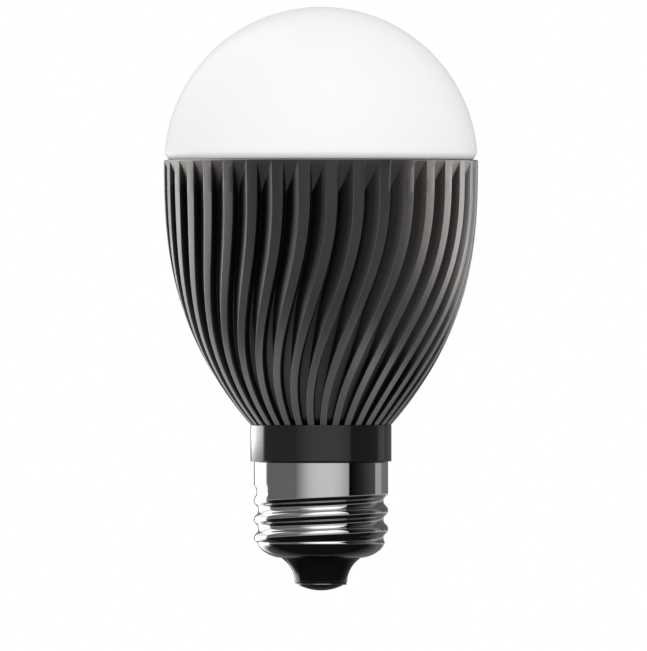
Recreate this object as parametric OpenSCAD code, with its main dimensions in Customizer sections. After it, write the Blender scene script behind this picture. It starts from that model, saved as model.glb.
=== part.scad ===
// LED smart bulb with an Edison screw cap, a swirl-finned heat sink and a frosted globe.
// Axis on Z, cap down. The origin is at the tip of the centre contact. Millimetres.

/* [Overall] */
// Largest diameter, over the fins
body_d = 61.3; // [58:0.1:75]
// Height of the finned body, from collar to rim
body_h = 51.9; // [50:0.1:64]
// Height of the collar between the cap and the fins
collar_h = 7.2; // [5:0.1:10]
// How far the collar stands out past the cap's skirt
collar_lip = 0.65; // [0.3:0.05:1.5]

/* [Screw cap] */
// Diameter over the thread crests and the skirt
thread_d = 26.2; // [25.5:0.05:31.5]
// Rise of the thread in one turn
thread_pitch = 3.629; // [3:0.001:4.4]
// Depth from crest to valley
thread_depth = 0.9; // [0.6:0.05:1.2]
// Height of the threaded stretch
thread_len = 9.55; // [8:0.05:14]
// Height of the plain skirt above the thread
skirt_len = 6.1; // [4:0.05:9]
// Thickness of the rolled sheet
shell_wall = 0.3; // [0.2:0.05:0.5]
// How far the rounded foot of the shell stands out past the thread's valleys
shell_foot_flare = 0.2; // [0:0.05:0.4]
// Height of the rounded foot of the shell
shell_foot_h = 3.1; // [2.5:0.05:4]
// Inward run of the rounded foot of the shell
shell_foot_run = 4.3; // [3.5:0.05:5]
// Height of the black insulator below the shell
insulator_h = 4.95; // [4:0.05:7]
// Diameter of the centre contact
contact_d = 10.0; // [8:0.1:12]
// Height of the contact's dome
contact_h = 1.45; // [0.8:0.05:2.5]

/* [Fins] */
// Number of fins round the body
fin_count = 36; // [30:1:44]
// Width of a fin's outer face at the rim
fin_rim_w = 2.35; // [1.5:0.05:2.8]
// Width of a fin's outer face at the collar
fin_foot_w = 1.3; // [1:0.05:1.6]
// Slope of a groove's floor near the rim, where it climbs to the next fin, in degrees
groove_slope = 35; // [20:1:42]
// Flat at the root of a groove near the rim
groove_root_w = 0.3; // [0.1:0.05:0.5]
// Depth of a groove at the collar
groove_foot_depth = 1.4; // [0.8:0.1:1.8]
// Run of a groove's steep side at the collar
groove_foot_run = 0.15; // [0.05:0.05:0.4]
// Height of the facet that closes each groove at the rim
groove_ramp_h = 6.8; // [4:0.1:8]
// Height of the plain band above the grooves
rim_band_h = 0.35; // [0.2:0.05:1]
// Height below the rim over which the fins run straight
fin_straight_h = 5.2; // [0:0.1:10]
// Turn of a fin from rim to collar, in degrees
fin_twist = 22; // [0:1:30]
// How late the body narrows: 2 is a parabola
belly_power = 2.65; // [2:0.05:3.5]
// How late the fins sweep round
sweep_power = 1.3; // [1:0.1:2]

/* [Globe] */
// Thickness of the diffuser
globe_wall = 1.6; // [1:0.1:2.5]
// How far the dome's radius is less than the body's
globe_inset = 0.1; // [0:0.05:0.5]
// Gap between the globe's edge and the rim
globe_gap = 0.3; // [0.2:0.05:0.8]
// Depth of the dome's centre below its edge
globe_centre_drop = 1.3; // [0:0.1:4]
// Rounding of the globe's lower edge
globe_edge_r = 0.9; // [0.4:0.1:1.2]
// Thickness of the spigot that plugs into the rim
globe_spigot_wall = 1.5; // [1:0.1:2]
// Thickness of the inner flange above the spigot
globe_flange_t = 1.3; // [1:0.1:2]
// Thickness of the silicone bead under the spigot
seal_t = 0.4; // [0.2:0.05:0.8]

/* [Light engine] */
// Metal left between the groove roots and the seat
rim_web = 0.8; // [0.6:0.1:1.5]
// Depth of the seat below the rim
seat_depth = 4.05; // [3.5:0.05:6]
// Width of the ledge that carries the mounting plate
ledge_w = 7.2; // [7:0.1:9]
// Thickness of the mounting plate
plate_t = 2.0; // [1.6:0.1:3]
// Thickness of the thermal pad
pad_t = 0.3; // [0.2:0.05:0.6]
// Thickness of the LED board
board_t = 1.6; // [1:0.1:2]
// Number of white LEDs on the outer ring
white_led_count = 12; // [6:3:12]
// Length of a white LED, along its ring
white_led_len = 3.5; // [3:0.1:4]
// Width of a white LED
white_led_w = 2.8; // [2.4:0.1:3]
// Height of a white LED
white_led_h = 0.75; // [0.5:0.05:1]
// Number of colour LEDs on the inner ring
colour_led_count = 6; // [3:3:6]
// Side of a colour LED
colour_led_w = 5.0; // [3.5:0.1:5.2]
// Height of a colour LED
colour_led_h = 1.4; // [1:0.1:1.8]
// Radius of the inner ring
colour_ring_r = 12.5; // [12.2:0.1:13]
// Radius of the ring of board screws
board_screw_ring_r = 16.4; // [16:0.1:17]
// Height of the radio board above the LED board
radio_rise = 13; // [10:0.5:16]
// Width of the radio board
radio_w = 13; // [12:0.5:14]
// Thickness of the radio board
radio_t = 0.8; // [0.6:0.1:1.2]

/* [Driver] */
// Thickness of the plastic driver housing
housing_wall = 1.2; // [0.8:0.1:1.5]
// Length of the straight bore at the foot of the heat sink
foot_bore_len = 5.2; // [4.8:0.1:8]
// Height of the cone between the foot bore and the wide bore
cone_h = 19; // [16:0.5:22]
// Thickness of the collar's wall inside the cap
sleeve_wall = 3.0; // [2.4:0.1:3.4]
// Thickness of the collar's upper spigot
spigot_wall = 1.6; // [1.2:0.1:2]
// Length of the collar's upper spigot
spigot_len = 4.0; // [3:0.1:4.2]
// Thickness of the driver board
driver_t = 1.6; // [1:0.1:2]
// Thickness of the lid over the driver
cover_t = 1.1; // [0.8:0.1:1.6]
// Side of the transformer's ferrite core
core_w = 13; // [10:0.5:14]
// Depth of the ferrite core, out from the board
core_d = 11; // [8:0.5:12]
// Thickness of the core's outer legs
core_leg = 3; // [2:0.1:3.5]
// Radius of the core's middle limb
core_limb_r = 1.9; // [1.5:0.1:2.2]
// Radius of the two electrolytic cans
can_r = 4; // [3:0.1:5]
// Length of the input can
input_can_len = 15; // [10:0.5:17]
// Length of the output can
output_can_len = 12; // [8:0.5:17]
// Radius of the choke's flanges
choke_r = 3.4; // [2.5:0.1:3.8]
// Height of the choke
choke_len = 7.6; // [6:0.1:9]
// Radius of the varistor's disc
varistor_r = 3.5; // [2.5:0.1:4]
// Diameter of the two leads to the cap
lead_d = 1.3; // [1:0.1:1.6]

/* [Hidden] */
$fn = 64;
// Clearances: a plug in its bore, a loose part, the plastic liner, a part in its slot, a screw in its thread
plug_gap = 0.15;
loose_gap = 0.4;
liner_gap = 0.25;
slot_gap = 0.2;
screw_gap = 0.05;
// How far a cut runs past the face it opens
cut = 1;

// Levels, from the tip of the centre contact upward
z_contact = contact_h;
z_shell = z_contact + insulator_h;
z_thread = z_shell + shell_foot_h;
z_skirt = z_thread + thread_len;
z_collar = z_skirt + skirt_len;
z_body = z_collar + collar_h;
z_rim = z_body + body_h;
z_seat = z_rim - seat_depth;
z_pad = z_seat + plate_t;
z_board = z_pad + pad_t;
z_leds = z_board + board_t;
z_globe = z_rim + globe_gap;

// Radii of the outside
body_r = body_d / 2;
skirt_r = thread_d / 2;
collar_r = skirt_r + collar_lip;
globe_r = body_r - globe_inset;
globe_centre_z = z_globe - globe_centre_drop;
contact_r = contact_d / 2;

// Fins and grooves: how far down the body a level lies, and the section there
fin_pitch = 360 / fin_count;
// Direction of the first fin at the rim, in degrees from +X
fin_first = -86;
// Levels at which the fins are drawn, and the share of full depth at which the grooves begin
fin_steps = 15;
groove_start = 0.03;
groove_draft = 0.1;
// Shares of the body's height, down from the rim, between which the grooves open out to a flat floor
groove_opens_at = 0.45;
groove_open_at = 0.9;
degrees_per_rad = 180 / PI;
function depth_share(z) = (z_rim - z) / body_h;
function fin_r(z) = body_r - (body_r - collar_r) * pow(depth_share(z), belly_power);
function fin_w(z) = mix(fin_rim_w, fin_foot_w, depth_share(z));
function groove_w(z) = fin_r(z) * fin_pitch / degrees_per_rad - fin_w(z);
function open_share(z) = smooth((depth_share(z) - groove_opens_at) / (groove_open_at - groove_opens_at));
function groove_run(z) = mix(groove_w(z) - groove_root_w, groove_foot_run, open_share(z));
groove_rim_depth = groove_run(z_rim) * tan(groove_slope);
function groove_depth(z) = mix(groove_rim_depth, groove_foot_depth, depth_share(z));
function ramp_share(z) = mix(groove_start, 1, clamp01((z_rim - rim_band_h - z) / groove_ramp_h));
function root_r(z) = fin_r(z) - groove_depth(z) * ramp_share(z);

// Radii of the cap and what fits inside it
thread_mid_r = skirt_r - thread_depth / 2;
shell_foot_r = skirt_r - thread_depth + shell_foot_flare;
shell_open_r = shell_foot_r - shell_foot_run;
sleeve_r = skirt_r - thread_depth - shell_wall - slot_gap;
collar_bore_r = sleeve_r - sleeve_wall;
neck_r = collar_bore_r - slot_gap;
neck_in_r = neck_r - housing_wall;
spigot_r = collar_bore_r + spigot_wall;
foot_bore_r = spigot_r + plug_gap;

// Radii of the seat at the rim and what stands in it
seat_r = body_r - groove_rim_depth - rim_web;
globe_spigot_r = seat_r - plug_gap;
globe_bore_r = globe_spigot_r - globe_spigot_wall;
plate_r = globe_bore_r - loose_gap;
board_r = plate_r - loose_gap;
pad_r = board_r - loose_gap;
wide_bore_r = seat_r - ledge_w;
// Bare margin of the LED board outside the white LEDs
board_margin = 4;
white_ring_r = board_r - board_margin - white_led_w / 2;

// Driver housing, cover and boards
housing_r = wide_bore_r - liner_gap;
housing_in_r = housing_r - housing_wall;
z_shoulder = z_body + spigot_len;
z_cone = z_body + foot_bore_len;
z_wide = z_cone + cone_h;
z_cover = z_seat - loose_gap - cover_t;
// The collar's sleeve starts above the shell's foot, and the housing's neck above the end of the sleeve
sleeve_lift = 1.5;
neck_lift = 2.5;
z_sleeve = z_thread + sleeve_lift;
z_neck = z_sleeve + neck_lift;
head_half_w = housing_in_r - slot_gap;
tail_half_w = neck_in_r - loose_gap;
z_head = z_wide + loose_gap;
z_head_top = z_cover - loose_gap;
// The tail of the driver board reaches down into the cap
tail_reach = 1;
z_tail = z_collar - tail_reach;
board_face = driver_t / 2;
// Where the first row of parts on the head stands
z_parts = z_head + 0.6;

// Window through cover, plate, pad and LED board for the radio board and the header
header_pitch = 2.54;
header_pin_count = 4;
header_h = 2.5;
header_y = -board_face - header_pitch / 2;
pin_r = 0.32;
socket_h = 2.6;
// The radio board stands off the driver board, with room at each side in the window
radio_stand_off = 2.5;
window_side_gap = 0.6;
radio_y = board_face + radio_stand_off;
window_w = radio_w + 2 * window_side_gap;
window_front = header_y - header_pitch / 2 - slot_gap;
window_back = radio_y + radio_t + slot_gap;

// Screws: radius of the thread, radius of the head and its height, and the hexagon in the head
screw_count = 3;
screw_r = 1.25;
screw_head_r = 2.3;
screw_head_h = 1.3;
screw_hex_r = 1.1;
screw_hex_depth = 0.7;
plate_screw_len = 7;
plate_screw_ring_r = wide_bore_r + screw_head_r;
plate_screw_first = 90;
board_screw_first = 30;

// Shared formulas and shapes

function mix(a, b, t) = a + (b - a) * t;
function clamp01(t) = min(1, max(0, t));
function smooth(t) = let (c = clamp01(t)) c * c * (3 - 2 * c);
function polar(r, a, z) = [r * cos(a), r * sin(a), z];
function arc(centre, r, from, to, steps) =
    [for (i = [0:steps]) let (a = mix(from, to, i / steps)) centre + r * [cos(a), sin(a)]];

module ring(r_out, r_in, z, h) {
    translate([0, 0, z]) difference() {
        cylinder(r = r_out, h = h);
        translate([0, 0, -cut]) cylinder(r = r_in, h = h + 2 * cut);
    }
}

// A block centred on its place in X and Y
module block(size, at) {
    translate(at) translate([-size.x / 2, -size.y / 2, 0]) cube(size);
}

module around(count, r, first) {
    for (i = [0:count - 1]) rotate(first + i * 360 / count) translate([r, 0, 0]) children();
}

module window_cut(z, h) {
    translate([-window_w / 2, window_front, z - cut]) cube([window_w, window_back - window_front, h + 2 * cut]);
}

// A round plate with the window and clearance holes for the board screws
module windowed_disc(r, z, h, hole_r) {
    difference() {
        translate([0, 0, z]) cylinder(r = r, h = h);
        window_cut(z, h);
        around(screw_count, board_screw_ring_r, board_screw_first) translate([0, 0, z - cut])
            cylinder(r = hole_r, h = h + 2 * cut);
    }
}

module screw_hex(z) {
    translate([0, 0, z - screw_hex_depth]) cylinder(r = screw_hex_r, h = screw_hex_depth + cut, $fn = 6);
}

// Closed skin over rows of equal length, where each row and the stack of rows wrap round
module wrapped_skin(rows) {
    m = len(rows);
    n = len(rows[0]);
    points = [for (row = rows) each row];
    faces = [for (i = [0:m - 1]) for (j = [0:n - 1])
        let (next_i = (i + 1) % m, next_j = (j + 1) % n)
        each [
            [i * n + j, i * n + next_j, next_i * n + next_j],
            [i * n + j, next_i * n + next_j, next_i * n + j]
        ]];
    polyhedron(points, faces);
}

// Closed skin over a stack of rings, with a fan from a centre point over each end
module capped_skin(rings, first_centre, last_centre) {
    m = len(rings);
    n = len(rings[0]);
    points = concat([for (r = rings) each r], [first_centre, last_centre]);
    sides = [for (i = [0:m - 2]) for (j = [0:n - 1])
        let (a = i * n + j, b = i * n + (j + 1) % n)
        each [[a, b, b + n], [a, b + n, a + n]]];
    first_cap = [for (j = [0:n - 1]) [m * n, (j + 1) % n, j]];
    last_cap = [for (j = [0:n - 1]) [m * n + 1, (m - 1) * n + j, (m - 1) * n + (j + 1) % n]];
    polyhedron(points, concat(sides, first_cap, last_cap));
}

// Globe: a thick dome on an inner flange, with a spigot that plugs into the rim

module globe() {
    round_z = z_globe + globe_edge_r;
    round_x = sqrt(pow(globe_r - globe_edge_r, 2) - pow(globe_centre_drop + globe_edge_r, 2));
    round_end = asin((globe_centre_drop + globe_edge_r) / (globe_r - globe_edge_r));
    color("white") difference() {
        union() {
            intersection() {
                translate([0, 0, globe_centre_z]) sphere(globe_r);
                rotate_extrude() polygon(concat(
                    [[0, z_globe]],
                    arc([round_x, round_z], globe_edge_r, -90, round_end, 8),
                    [[globe_r + cut, round_z + cut], [globe_r + cut, z_globe + globe_r], [0, z_globe + globe_r]]
                ));
            }
            translate([0, 0, z_seat + seal_t])
                cylinder(r = globe_spigot_r, h = z_globe + globe_flange_t / 2 - z_seat - seal_t);
        }
        intersection() {
            translate([0, 0, globe_centre_z]) sphere(globe_r - globe_wall);
            translate([0, 0, z_globe + globe_flange_t]) cylinder(r = globe_r, h = globe_r);
        }
        translate([0, 0, z_seat]) cylinder(r = globe_bore_r, h = z_globe + globe_flange_t + cut - z_seat);
    }
}

module globe_seal() {
    color("gainsboro") ring(globe_spigot_r, globe_bore_r, z_seat, seal_t);
}

// Heat sink: each groove drops straight in beside one fin and climbs to the next, less gently further down

function fin_turn(z) =
    -fin_twist * smooth(pow(max(0, (z_rim - z - fin_straight_h) / (body_h - fin_straight_h)), sweep_power));
function angle_of(w, r) = w / r * degrees_per_rad;
function fin_ring(z) = let (
        r = fin_r(z),
        tip = angle_of(fin_w(z), r) / 2,
        root_from = tip + angle_of(groove_draft, r) * ramp_share(z),
        root_to = fin_pitch - tip - angle_of(groove_run(z), r) * ramp_share(z)
    ) [for (k = [0:fin_count - 1]) let (a = fin_first + fin_turn(z) + k * fin_pitch)
        each [polar(r, a - tip, z), polar(r, a + tip, z),
            polar(root_r(z), a + root_from, z), polar(root_r(z), a + root_to, z)]];

module heat_sink() {
    z_band = z_rim - rim_band_h;
    z_ramp = z_band - groove_ramp_h;
    levels = concat([z_body], [for (i = [1:fin_steps]) mix(z_body, z_ramp, i / fin_steps)], [z_band, z_rim]);
    color("dimgray") difference() {
        capped_skin([for (z = levels) fin_ring(z)], [0, 0, z_body], [0, 0, z_rim]);
        rotate_extrude() polygon([
            [0, z_body - cut], [foot_bore_r, z_body - cut], [foot_bore_r, z_cone], [wide_bore_r, z_wide],
            [wide_bore_r, z_seat], [seat_r, z_seat], [seat_r, z_rim + cut], [0, z_rim + cut]
        ]);
        around(screw_count, plate_screw_ring_r, plate_screw_first) translate([0, 0, z_seat - plate_screw_len])
            cylinder(r = screw_r + screw_gap, h = plate_screw_len + cut);
    }
}

// Light engine

// A countersunk screw with its head level with the plate, grown by a clearance
module plate_screw_shape(gap) {
    z_head_foot = z_pad - screw_head_h;
    z_point = z_seat - plate_screw_len + loose_gap;
    translate([0, 0, z_head_foot]) cylinder(r1 = screw_r + gap, r2 = screw_head_r + gap, h = screw_head_h);
    translate([0, 0, z_point]) cylinder(r = screw_r + gap, h = z_head_foot - z_point + screw_gap);
}

module mounting_plate() {
    color("silver") difference() {
        windowed_disc(plate_r, z_seat, plate_t, screw_r + screw_gap);
        around(screw_count, plate_screw_ring_r, plate_screw_first) plate_screw_shape(screw_gap);
    }
}

module plate_screws() {
    color("silver") around(screw_count, plate_screw_ring_r, plate_screw_first) difference() {
        plate_screw_shape(0);
        screw_hex(z_pad);
    }
}

module thermal_pad() {
    color("lightblue") windowed_disc(pad_r, z_pad, pad_t, screw_r + slot_gap);
}

module led_board() {
    color("whitesmoke") windowed_disc(board_r, z_board, board_t, screw_r + slot_gap);
}

// A surface-mounted LED: a tray with a sunken round window
module led_package(size, window_r) {
    window_drop = 0.15;
    difference() {
        block(size, [0, 0, z_leds]);
        translate([0, 0, z_leds + size.z - window_drop]) cylinder(r = window_r, h = window_drop + cut);
    }
}

module white_leds() {
    color("khaki") around(white_led_count, white_ring_r, 180 / white_led_count)
        led_package([white_led_w, white_led_len, white_led_h], white_led_w / 2 - 0.25);
}

module colour_leds() {
    color("ivory") around(colour_led_count, colour_ring_r, 0)
        led_package([colour_led_w, colour_led_w, colour_led_h], colour_led_w / 2 - 0.6);
}

module board_screws() {
    z_end = z_seat + slot_gap;
    color("silver") around(screw_count, board_screw_ring_r, board_screw_first) difference() {
        union() {
            translate([0, 0, z_leds]) cylinder(r = screw_head_r, h = screw_head_h);
            translate([0, 0, z_end]) cylinder(r = screw_r, h = z_leds - z_end + screw_gap);
        }
        screw_hex(z_leds + screw_head_h);
    }
}

// Four-way header between the driver board and the LED board

module header_row() {
    for (i = [0:header_pin_count - 1])
        translate([(i - (header_pin_count - 1) / 2) * header_pitch, header_y, 0]) children();
}

module led_socket() {
    socket_back = header_y + header_pitch / 2;
    socket_front = window_front - 3;
    color("ivory") difference() {
        translate([-header_pin_count * header_pitch / 2 - 0.5, socket_front, z_leds])
            cube([header_pin_count * header_pitch + 1, socket_back - socket_front, socket_h]);
        header_row() translate([0, 0, z_leds - cut]) cylinder(r = pin_r + screw_gap, h = socket_h + 2 * cut);
    }
}

module header_body() {
    color("black") difference() {
        block([header_pin_count * header_pitch, header_pitch, header_h], [0, header_y, z_head_top - header_h]);
        header_row() translate([0, 0, z_head_top - header_h - cut])
            cylinder(r = pin_r + screw_gap, h = header_h + 2 * cut);
    }
}

module header_pins() {
    z_pin = z_head_top - header_h - 1.5;
    color("gold") header_row() translate([0, 0, z_pin])
        cylinder(r = pin_r, h = z_leds + socket_h - slot_gap - z_pin);
}

// Radio board, which stands through the window into the globe

// How far the radio board reaches down behind the driver board
radio_overlap = 6;
z_radio = z_head_top - radio_overlap;
module radio_board() {
    color("darkgreen") translate([-radio_w / 2, radio_y, z_radio])
        cube([radio_w, radio_t, z_leds + radio_rise - z_radio]);
}

module radio_shield() {
    size = [radio_w - 3, 1.8, 6.5];
    color("silver") block(size, [0, radio_y + radio_t + size.y / 2, z_leds + 0.8]);
}

module radio_header() {
    size = [radio_w - 1, radio_y - board_face, 2.5];
    color("black") block(size, [0, board_face + size.y / 2, z_radio + 1]);
}

// Driver housing and its cover

module driver_cover() {
    color("white") difference() {
        translate([0, 0, z_cover]) cylinder(r = housing_r, h = cover_t);
        window_cut(z_cover, cover_t);
    }
}

module driver_housing() {
    foot_r = foot_bore_r - liner_gap;
    rail = [1.4, 1.2, z_cover - cut - z_head];
    rail_root = 0.2;
    color("white") union() {
        rotate_extrude() polygon([
            [neck_in_r, z_neck], [neck_r, z_neck], [neck_r, z_shoulder], [foot_r, z_shoulder], [foot_r, z_cone],
            [housing_r, z_wide], [housing_r, z_cover], [housing_in_r, z_cover], [housing_in_r, z_wide],
            [foot_r - housing_wall, z_cone], [neck_in_r, z_cone]
        ]);
        for (x = [-1, 1]) for (y = [-1, 1]) block(rail, [
            x * (housing_in_r - rail.x / 2 + rail_root), y * (board_face + slot_gap + rail.y / 2), z_head
        ]);
    }
}

// Driver board: a wide head in the cup and a narrow tail down the neck
module driver_board() {
    color("darkgreen") translate([0, board_face, 0]) rotate([90, 0, 0]) linear_extrude(driver_t) polygon([
        [-tail_half_w, z_tail], [tail_half_w, z_tail], [tail_half_w, z_head], [head_half_w, z_head],
        [head_half_w, z_head_top], [-head_half_w, z_head_top], [-head_half_w, z_head], [-tail_half_w, z_head]
    ]);
}

// Parts on the driver board. Front is -Y and back is +Y

core_x = -5.5;
core_y = -board_face - core_d / 2;
core_window = core_w - 2 * core_leg;
module transformer_core() {
    limb_root = 0.1;
    color("dimgray") union() {
        difference() {
            block([core_w, core_d, core_w], [core_x, core_y, z_parts]);
            block([core_window, core_d + 2 * cut, core_window], [core_x, core_y, z_parts + core_leg]);
        }
        translate([core_x, core_y, z_parts + core_leg - limb_root])
            cylinder(r = core_limb_r, h = core_window + 2 * limb_root);
    }
}

module transformer_winding() {
    color("gold") translate([core_x, core_y, 0]) ring(core_window / 2 - slot_gap, core_limb_r + slot_gap,
        z_parts + core_leg + slot_gap, core_window - 2 * slot_gap);
}

// An electrolytic can beside the board, with a rolled neck near its foot
module can(len, at) {
    neck_z = 1.5;
    neck_h = 1;
    neck_depth = 0.4;
    translate(at) difference() {
        cylinder(r = can_r, h = len);
        ring(can_r + cut, can_r - neck_depth, neck_z, neck_h);
    }
}

module input_capacitor() {
    color("midnightblue") can(input_can_len, [-radio_w / 2 - can_r, board_face + can_r + slot_gap, z_parts]);
}

module output_capacitor() {
    color("midnightblue") can(output_can_len, [8, -board_face - can_r - slot_gap, z_parts]);
}

module film_capacitor() {
    size = [5.5, 8, 10];
    color("goldenrod") block(size, [10.5, board_face + size.y / 2, z_parts]);
}

z_choke = z_wide - 9;
choke_y = -board_face - choke_r - slot_gap;
choke_flange = 1.2;
choke_limb_r = 1.4;
module choke_core() {
    color("dimgray") translate([0, choke_y, z_choke]) union() {
        cylinder(r = choke_r, h = choke_flange);
        cylinder(r = choke_limb_r, h = choke_len);
        translate([0, 0, choke_len - choke_flange]) cylinder(r = choke_r, h = choke_flange);
    }
}

module choke_winding() {
    color("chocolate") translate([0, choke_y, 0]) ring(choke_r - loose_gap, choke_limb_r + screw_gap,
        z_choke + choke_flange + screw_gap, choke_len - 2 * (choke_flange + screw_gap));
}

module fuse_resistor() {
    r = 1.5;
    len = 7.5;
    color("palegreen") translate([0, -board_face - r - slot_gap, z_body - 2]) cylinder(r = r, h = len);
}

module varistor() {
    thickness = 3.2;
    color("royalblue") translate([0, board_face, z_cone + 4 + varistor_r]) rotate([-90, 0, 0])
        cylinder(r = varistor_r, h = thickness);
}

// A moulded chip with a row of flat legs above and below it
module chip(size, at, legs) {
    leg = [0.5, 0.25, 0.9];
    translate(at) union() {
        block(size, [0, size.y / 2, 0]);
        for (i = [0:legs - 1]) block([leg.x, leg.y, size.z + 2 * leg.z],
            [((i + 0.5) / legs - 0.5) * size.x, leg.y / 2, -leg.z]);
    }
}

module bridge_rectifier() {
    color("black") chip([4.6, 2.4, 4], [0, board_face, z_cone + 13.5], 2);
}

module control_chip() {
    color("black") chip([4.8, 1.5, 3.9], [1, board_face, z_parts + 1.6], 4);
}

module power_switch() {
    color("black") chip([6.4, 2.2, 5.4], [2.5, board_face, z_parts + 8], 2);
}

module output_diode() {
    color("black") chip([3, 2.2, 4.4], [15, -board_face - 2.2, z_parts + 3], 1);
}

// Collar and screw cap

module base_collar() {
    color("black") rotate_extrude() polygon([
        [collar_bore_r, z_sleeve], [sleeve_r, z_sleeve], [sleeve_r, z_collar], [collar_r, z_collar],
        [collar_r, z_body], [spigot_r, z_body], [spigot_r, z_shoulder], [collar_bore_r, z_shoulder]
    ]);
}

// Rolled Edison thread: the sheet follows a right-hand helix that fades into the skirt and the foot
shell_steps = 36;
thread_rings = 22;
foot_rings = 6;
// Height of a crest on the +X side, and the height over which the thread fades at each end
crest_z = 12.0;
crest_fade = 1.2;
// The top of the rolled part runs up inside the skirt's wall
tongue = shell_wall / 4;
tongue_h = 0.4;
function fade_in(z) = smooth((z - z_thread + crest_fade / 2) / crest_fade);
function fade_out(z) = smooth((z - z_skirt + crest_fade) / crest_fade);
function thread_base(z) = z < z_thread + thread_len / 2
    ? mix(shell_foot_r, thread_mid_r, smooth((z - z_thread) / crest_fade))
    : mix(thread_mid_r, skirt_r, fade_out(z));
function thread_r(z, a) = thread_base(z)
    + thread_depth / 2 * fade_in(z) * (1 - fade_out(z)) * cos(360 * (z - crest_z) / thread_pitch - a);
function level_row(r, z) = [for (j = [0:shell_steps - 1]) polar(r, j * 360 / shell_steps, z)];
function thread_row(z, inset) =
    [for (j = [0:shell_steps - 1]) let (a = j * 360 / shell_steps) polar(thread_r(z, a) - inset, a, z)];
function foot_row(a, inset) =
    level_row(shell_open_r + (shell_foot_run - inset) * cos(a), z_thread - (shell_foot_h - inset) * sin(a));
// One side of the sheet, from the tongue at the top down to the opening
function shell_side(inset, tongue_r) = concat(
    [level_row(tongue_r, z_skirt + tongue_h), level_row(tongue_r, z_skirt)],
    [for (i = [1:thread_rings]) thread_row(mix(z_skirt, z_thread, i / thread_rings), inset)],
    [for (i = [1:foot_rings]) foot_row(90 * i / foot_rings, inset)]
);

module screw_shell() {
    outer = shell_side(0, skirt_r - tongue);
    inner = shell_side(shell_wall, skirt_r - shell_wall + tongue);
    color("silver") union() {
        wrapped_skin(concat(outer, [for (i = [len(inner) - 1:-1:0]) inner[i]]));
        ring(skirt_r, skirt_r - shell_wall, z_skirt, skirt_len);
    }
}

insulator_top_r = shell_open_r - slot_gap;
insulator_hole_r = 1.6;
// Flange of the insulator inside the shell's foot
flange_h = 2.4;
flange_out = 2;
module base_insulator() {
    run = insulator_top_r - contact_r;
    bow_r = (insulator_h * insulator_h + run * run) / (2 * run);
    z_flange = z_shell + shell_wall + slot_gap;
    color("black") rotate_extrude() polygon(concat(
        [[insulator_hole_r, z_contact]],
        arc([contact_r + bow_r, z_contact], bow_r, 180, 180 - asin(insulator_h / bow_r), 10),
        [
            [insulator_top_r, z_flange], [insulator_top_r + flange_out / 3, z_flange],
            [insulator_top_r + flange_out, z_shell + flange_h / 2], [insulator_top_r + flange_out, z_shell + flange_h],
            [insulator_hole_r, z_shell + flange_h]
        ]
    ));
}

stem_r = insulator_hole_r - plug_gap;
z_stem = z_shell + flange_h + loose_gap;
module centre_contact() {
    dome_r = (contact_r * contact_r + contact_h * contact_h) / (2 * contact_h);
    color("dimgray") union() {
        intersection() {
            translate([0, 0, dome_r]) sphere(dome_r);
            cylinder(r = contact_r + cut, h = contact_h);
        }
        translate([0, 0, contact_h / 2]) cylinder(r = stem_r, h = z_stem - contact_h / 2);
    }
}

// Leads from the tail of the driver board to the cap, round wires swept along their points

lead_sides = 8;
lead_y = board_face + lead_d / 2 + slot_gap / 2;
function unit(v) = v / norm(v);
function path_dir(p, i) = unit(p[min(i + 1, len(p) - 1)] - p[max(i - 1, 0)]);
function across(d) = unit(cross(d, abs(d.x) < 0.7 ? [1, 0, 0] : [0, 1, 0]));
function carried(side, d) = unit(side - d * (side * d));
function path_sides(p, i = 0, side = undef) = i >= len(p) ? [] :
    let (d = path_dir(p, i), s = side == undef ? across(d) : carried(side, d))
    concat([s], path_sides(p, i + 1, s));

module wire(path) {
    sides = path_sides(path);
    rings = [for (i = [0:len(path) - 1])
        let (u = sides[i], v = cross(path_dir(path, i), u))
        [for (k = [0:lead_sides - 1]) let (a = k * 360 / lead_sides)
            path[i] + lead_d / 2 * (u * cos(a) + v * sin(a))]];
    capped_skin(rings, path[0], path[len(path) - 1]);
}

module live_lead() {
    color("firebrick") wire([
        [-3, -lead_y, z_tail + 2.5], [-3, -lead_y, z_tail], [-2.8, -lead_y, z_tail - 2.5], [-2.2, -1.3, z_tail - 5],
        [-1.2, -0.8, z_tail - 7.5], [-0.4, -0.3, z_stem + 3.5], [0, 0, z_stem + 1.5], [0, 0, z_stem]
    ]);
}

module neutral_lead() {
    reach = sleeve_r - 0.6;
    z_bend = z_sleeve - slot_gap - lead_d / 2;
    color("whitesmoke") wire([
        [3, lead_y, z_tail + 2.5], [3, lead_y, z_tail], [3.2, lead_y, z_tail - 3], [3.8, lead_y, z_neck + 2],
        [4.6, lead_y, z_bend + 2.6], [5.8, lead_y, z_bend + 0.9], [7.6, lead_y, z_bend], [reach, lead_y, z_bend]
    ]);
}

globe();
globe_seal();
heat_sink();
mounting_plate();
plate_screws();
thermal_pad();
led_board();
white_leds();
colour_leds();
board_screws();
led_socket();
header_pins();
header_body();
radio_board();
radio_shield();
radio_header();
driver_cover();
driver_housing();
driver_board();
transformer_core();
transformer_winding();
input_capacitor();
output_capacitor();
film_capacitor();
choke_core();
choke_winding();
fuse_resistor();
varistor();
bridge_rectifier();
control_chip();
power_switch();
output_diode();
base_collar();
screw_shell();
base_insulator();
centre_contact();
live_lead();
neutral_lead();
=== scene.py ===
import math

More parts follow.
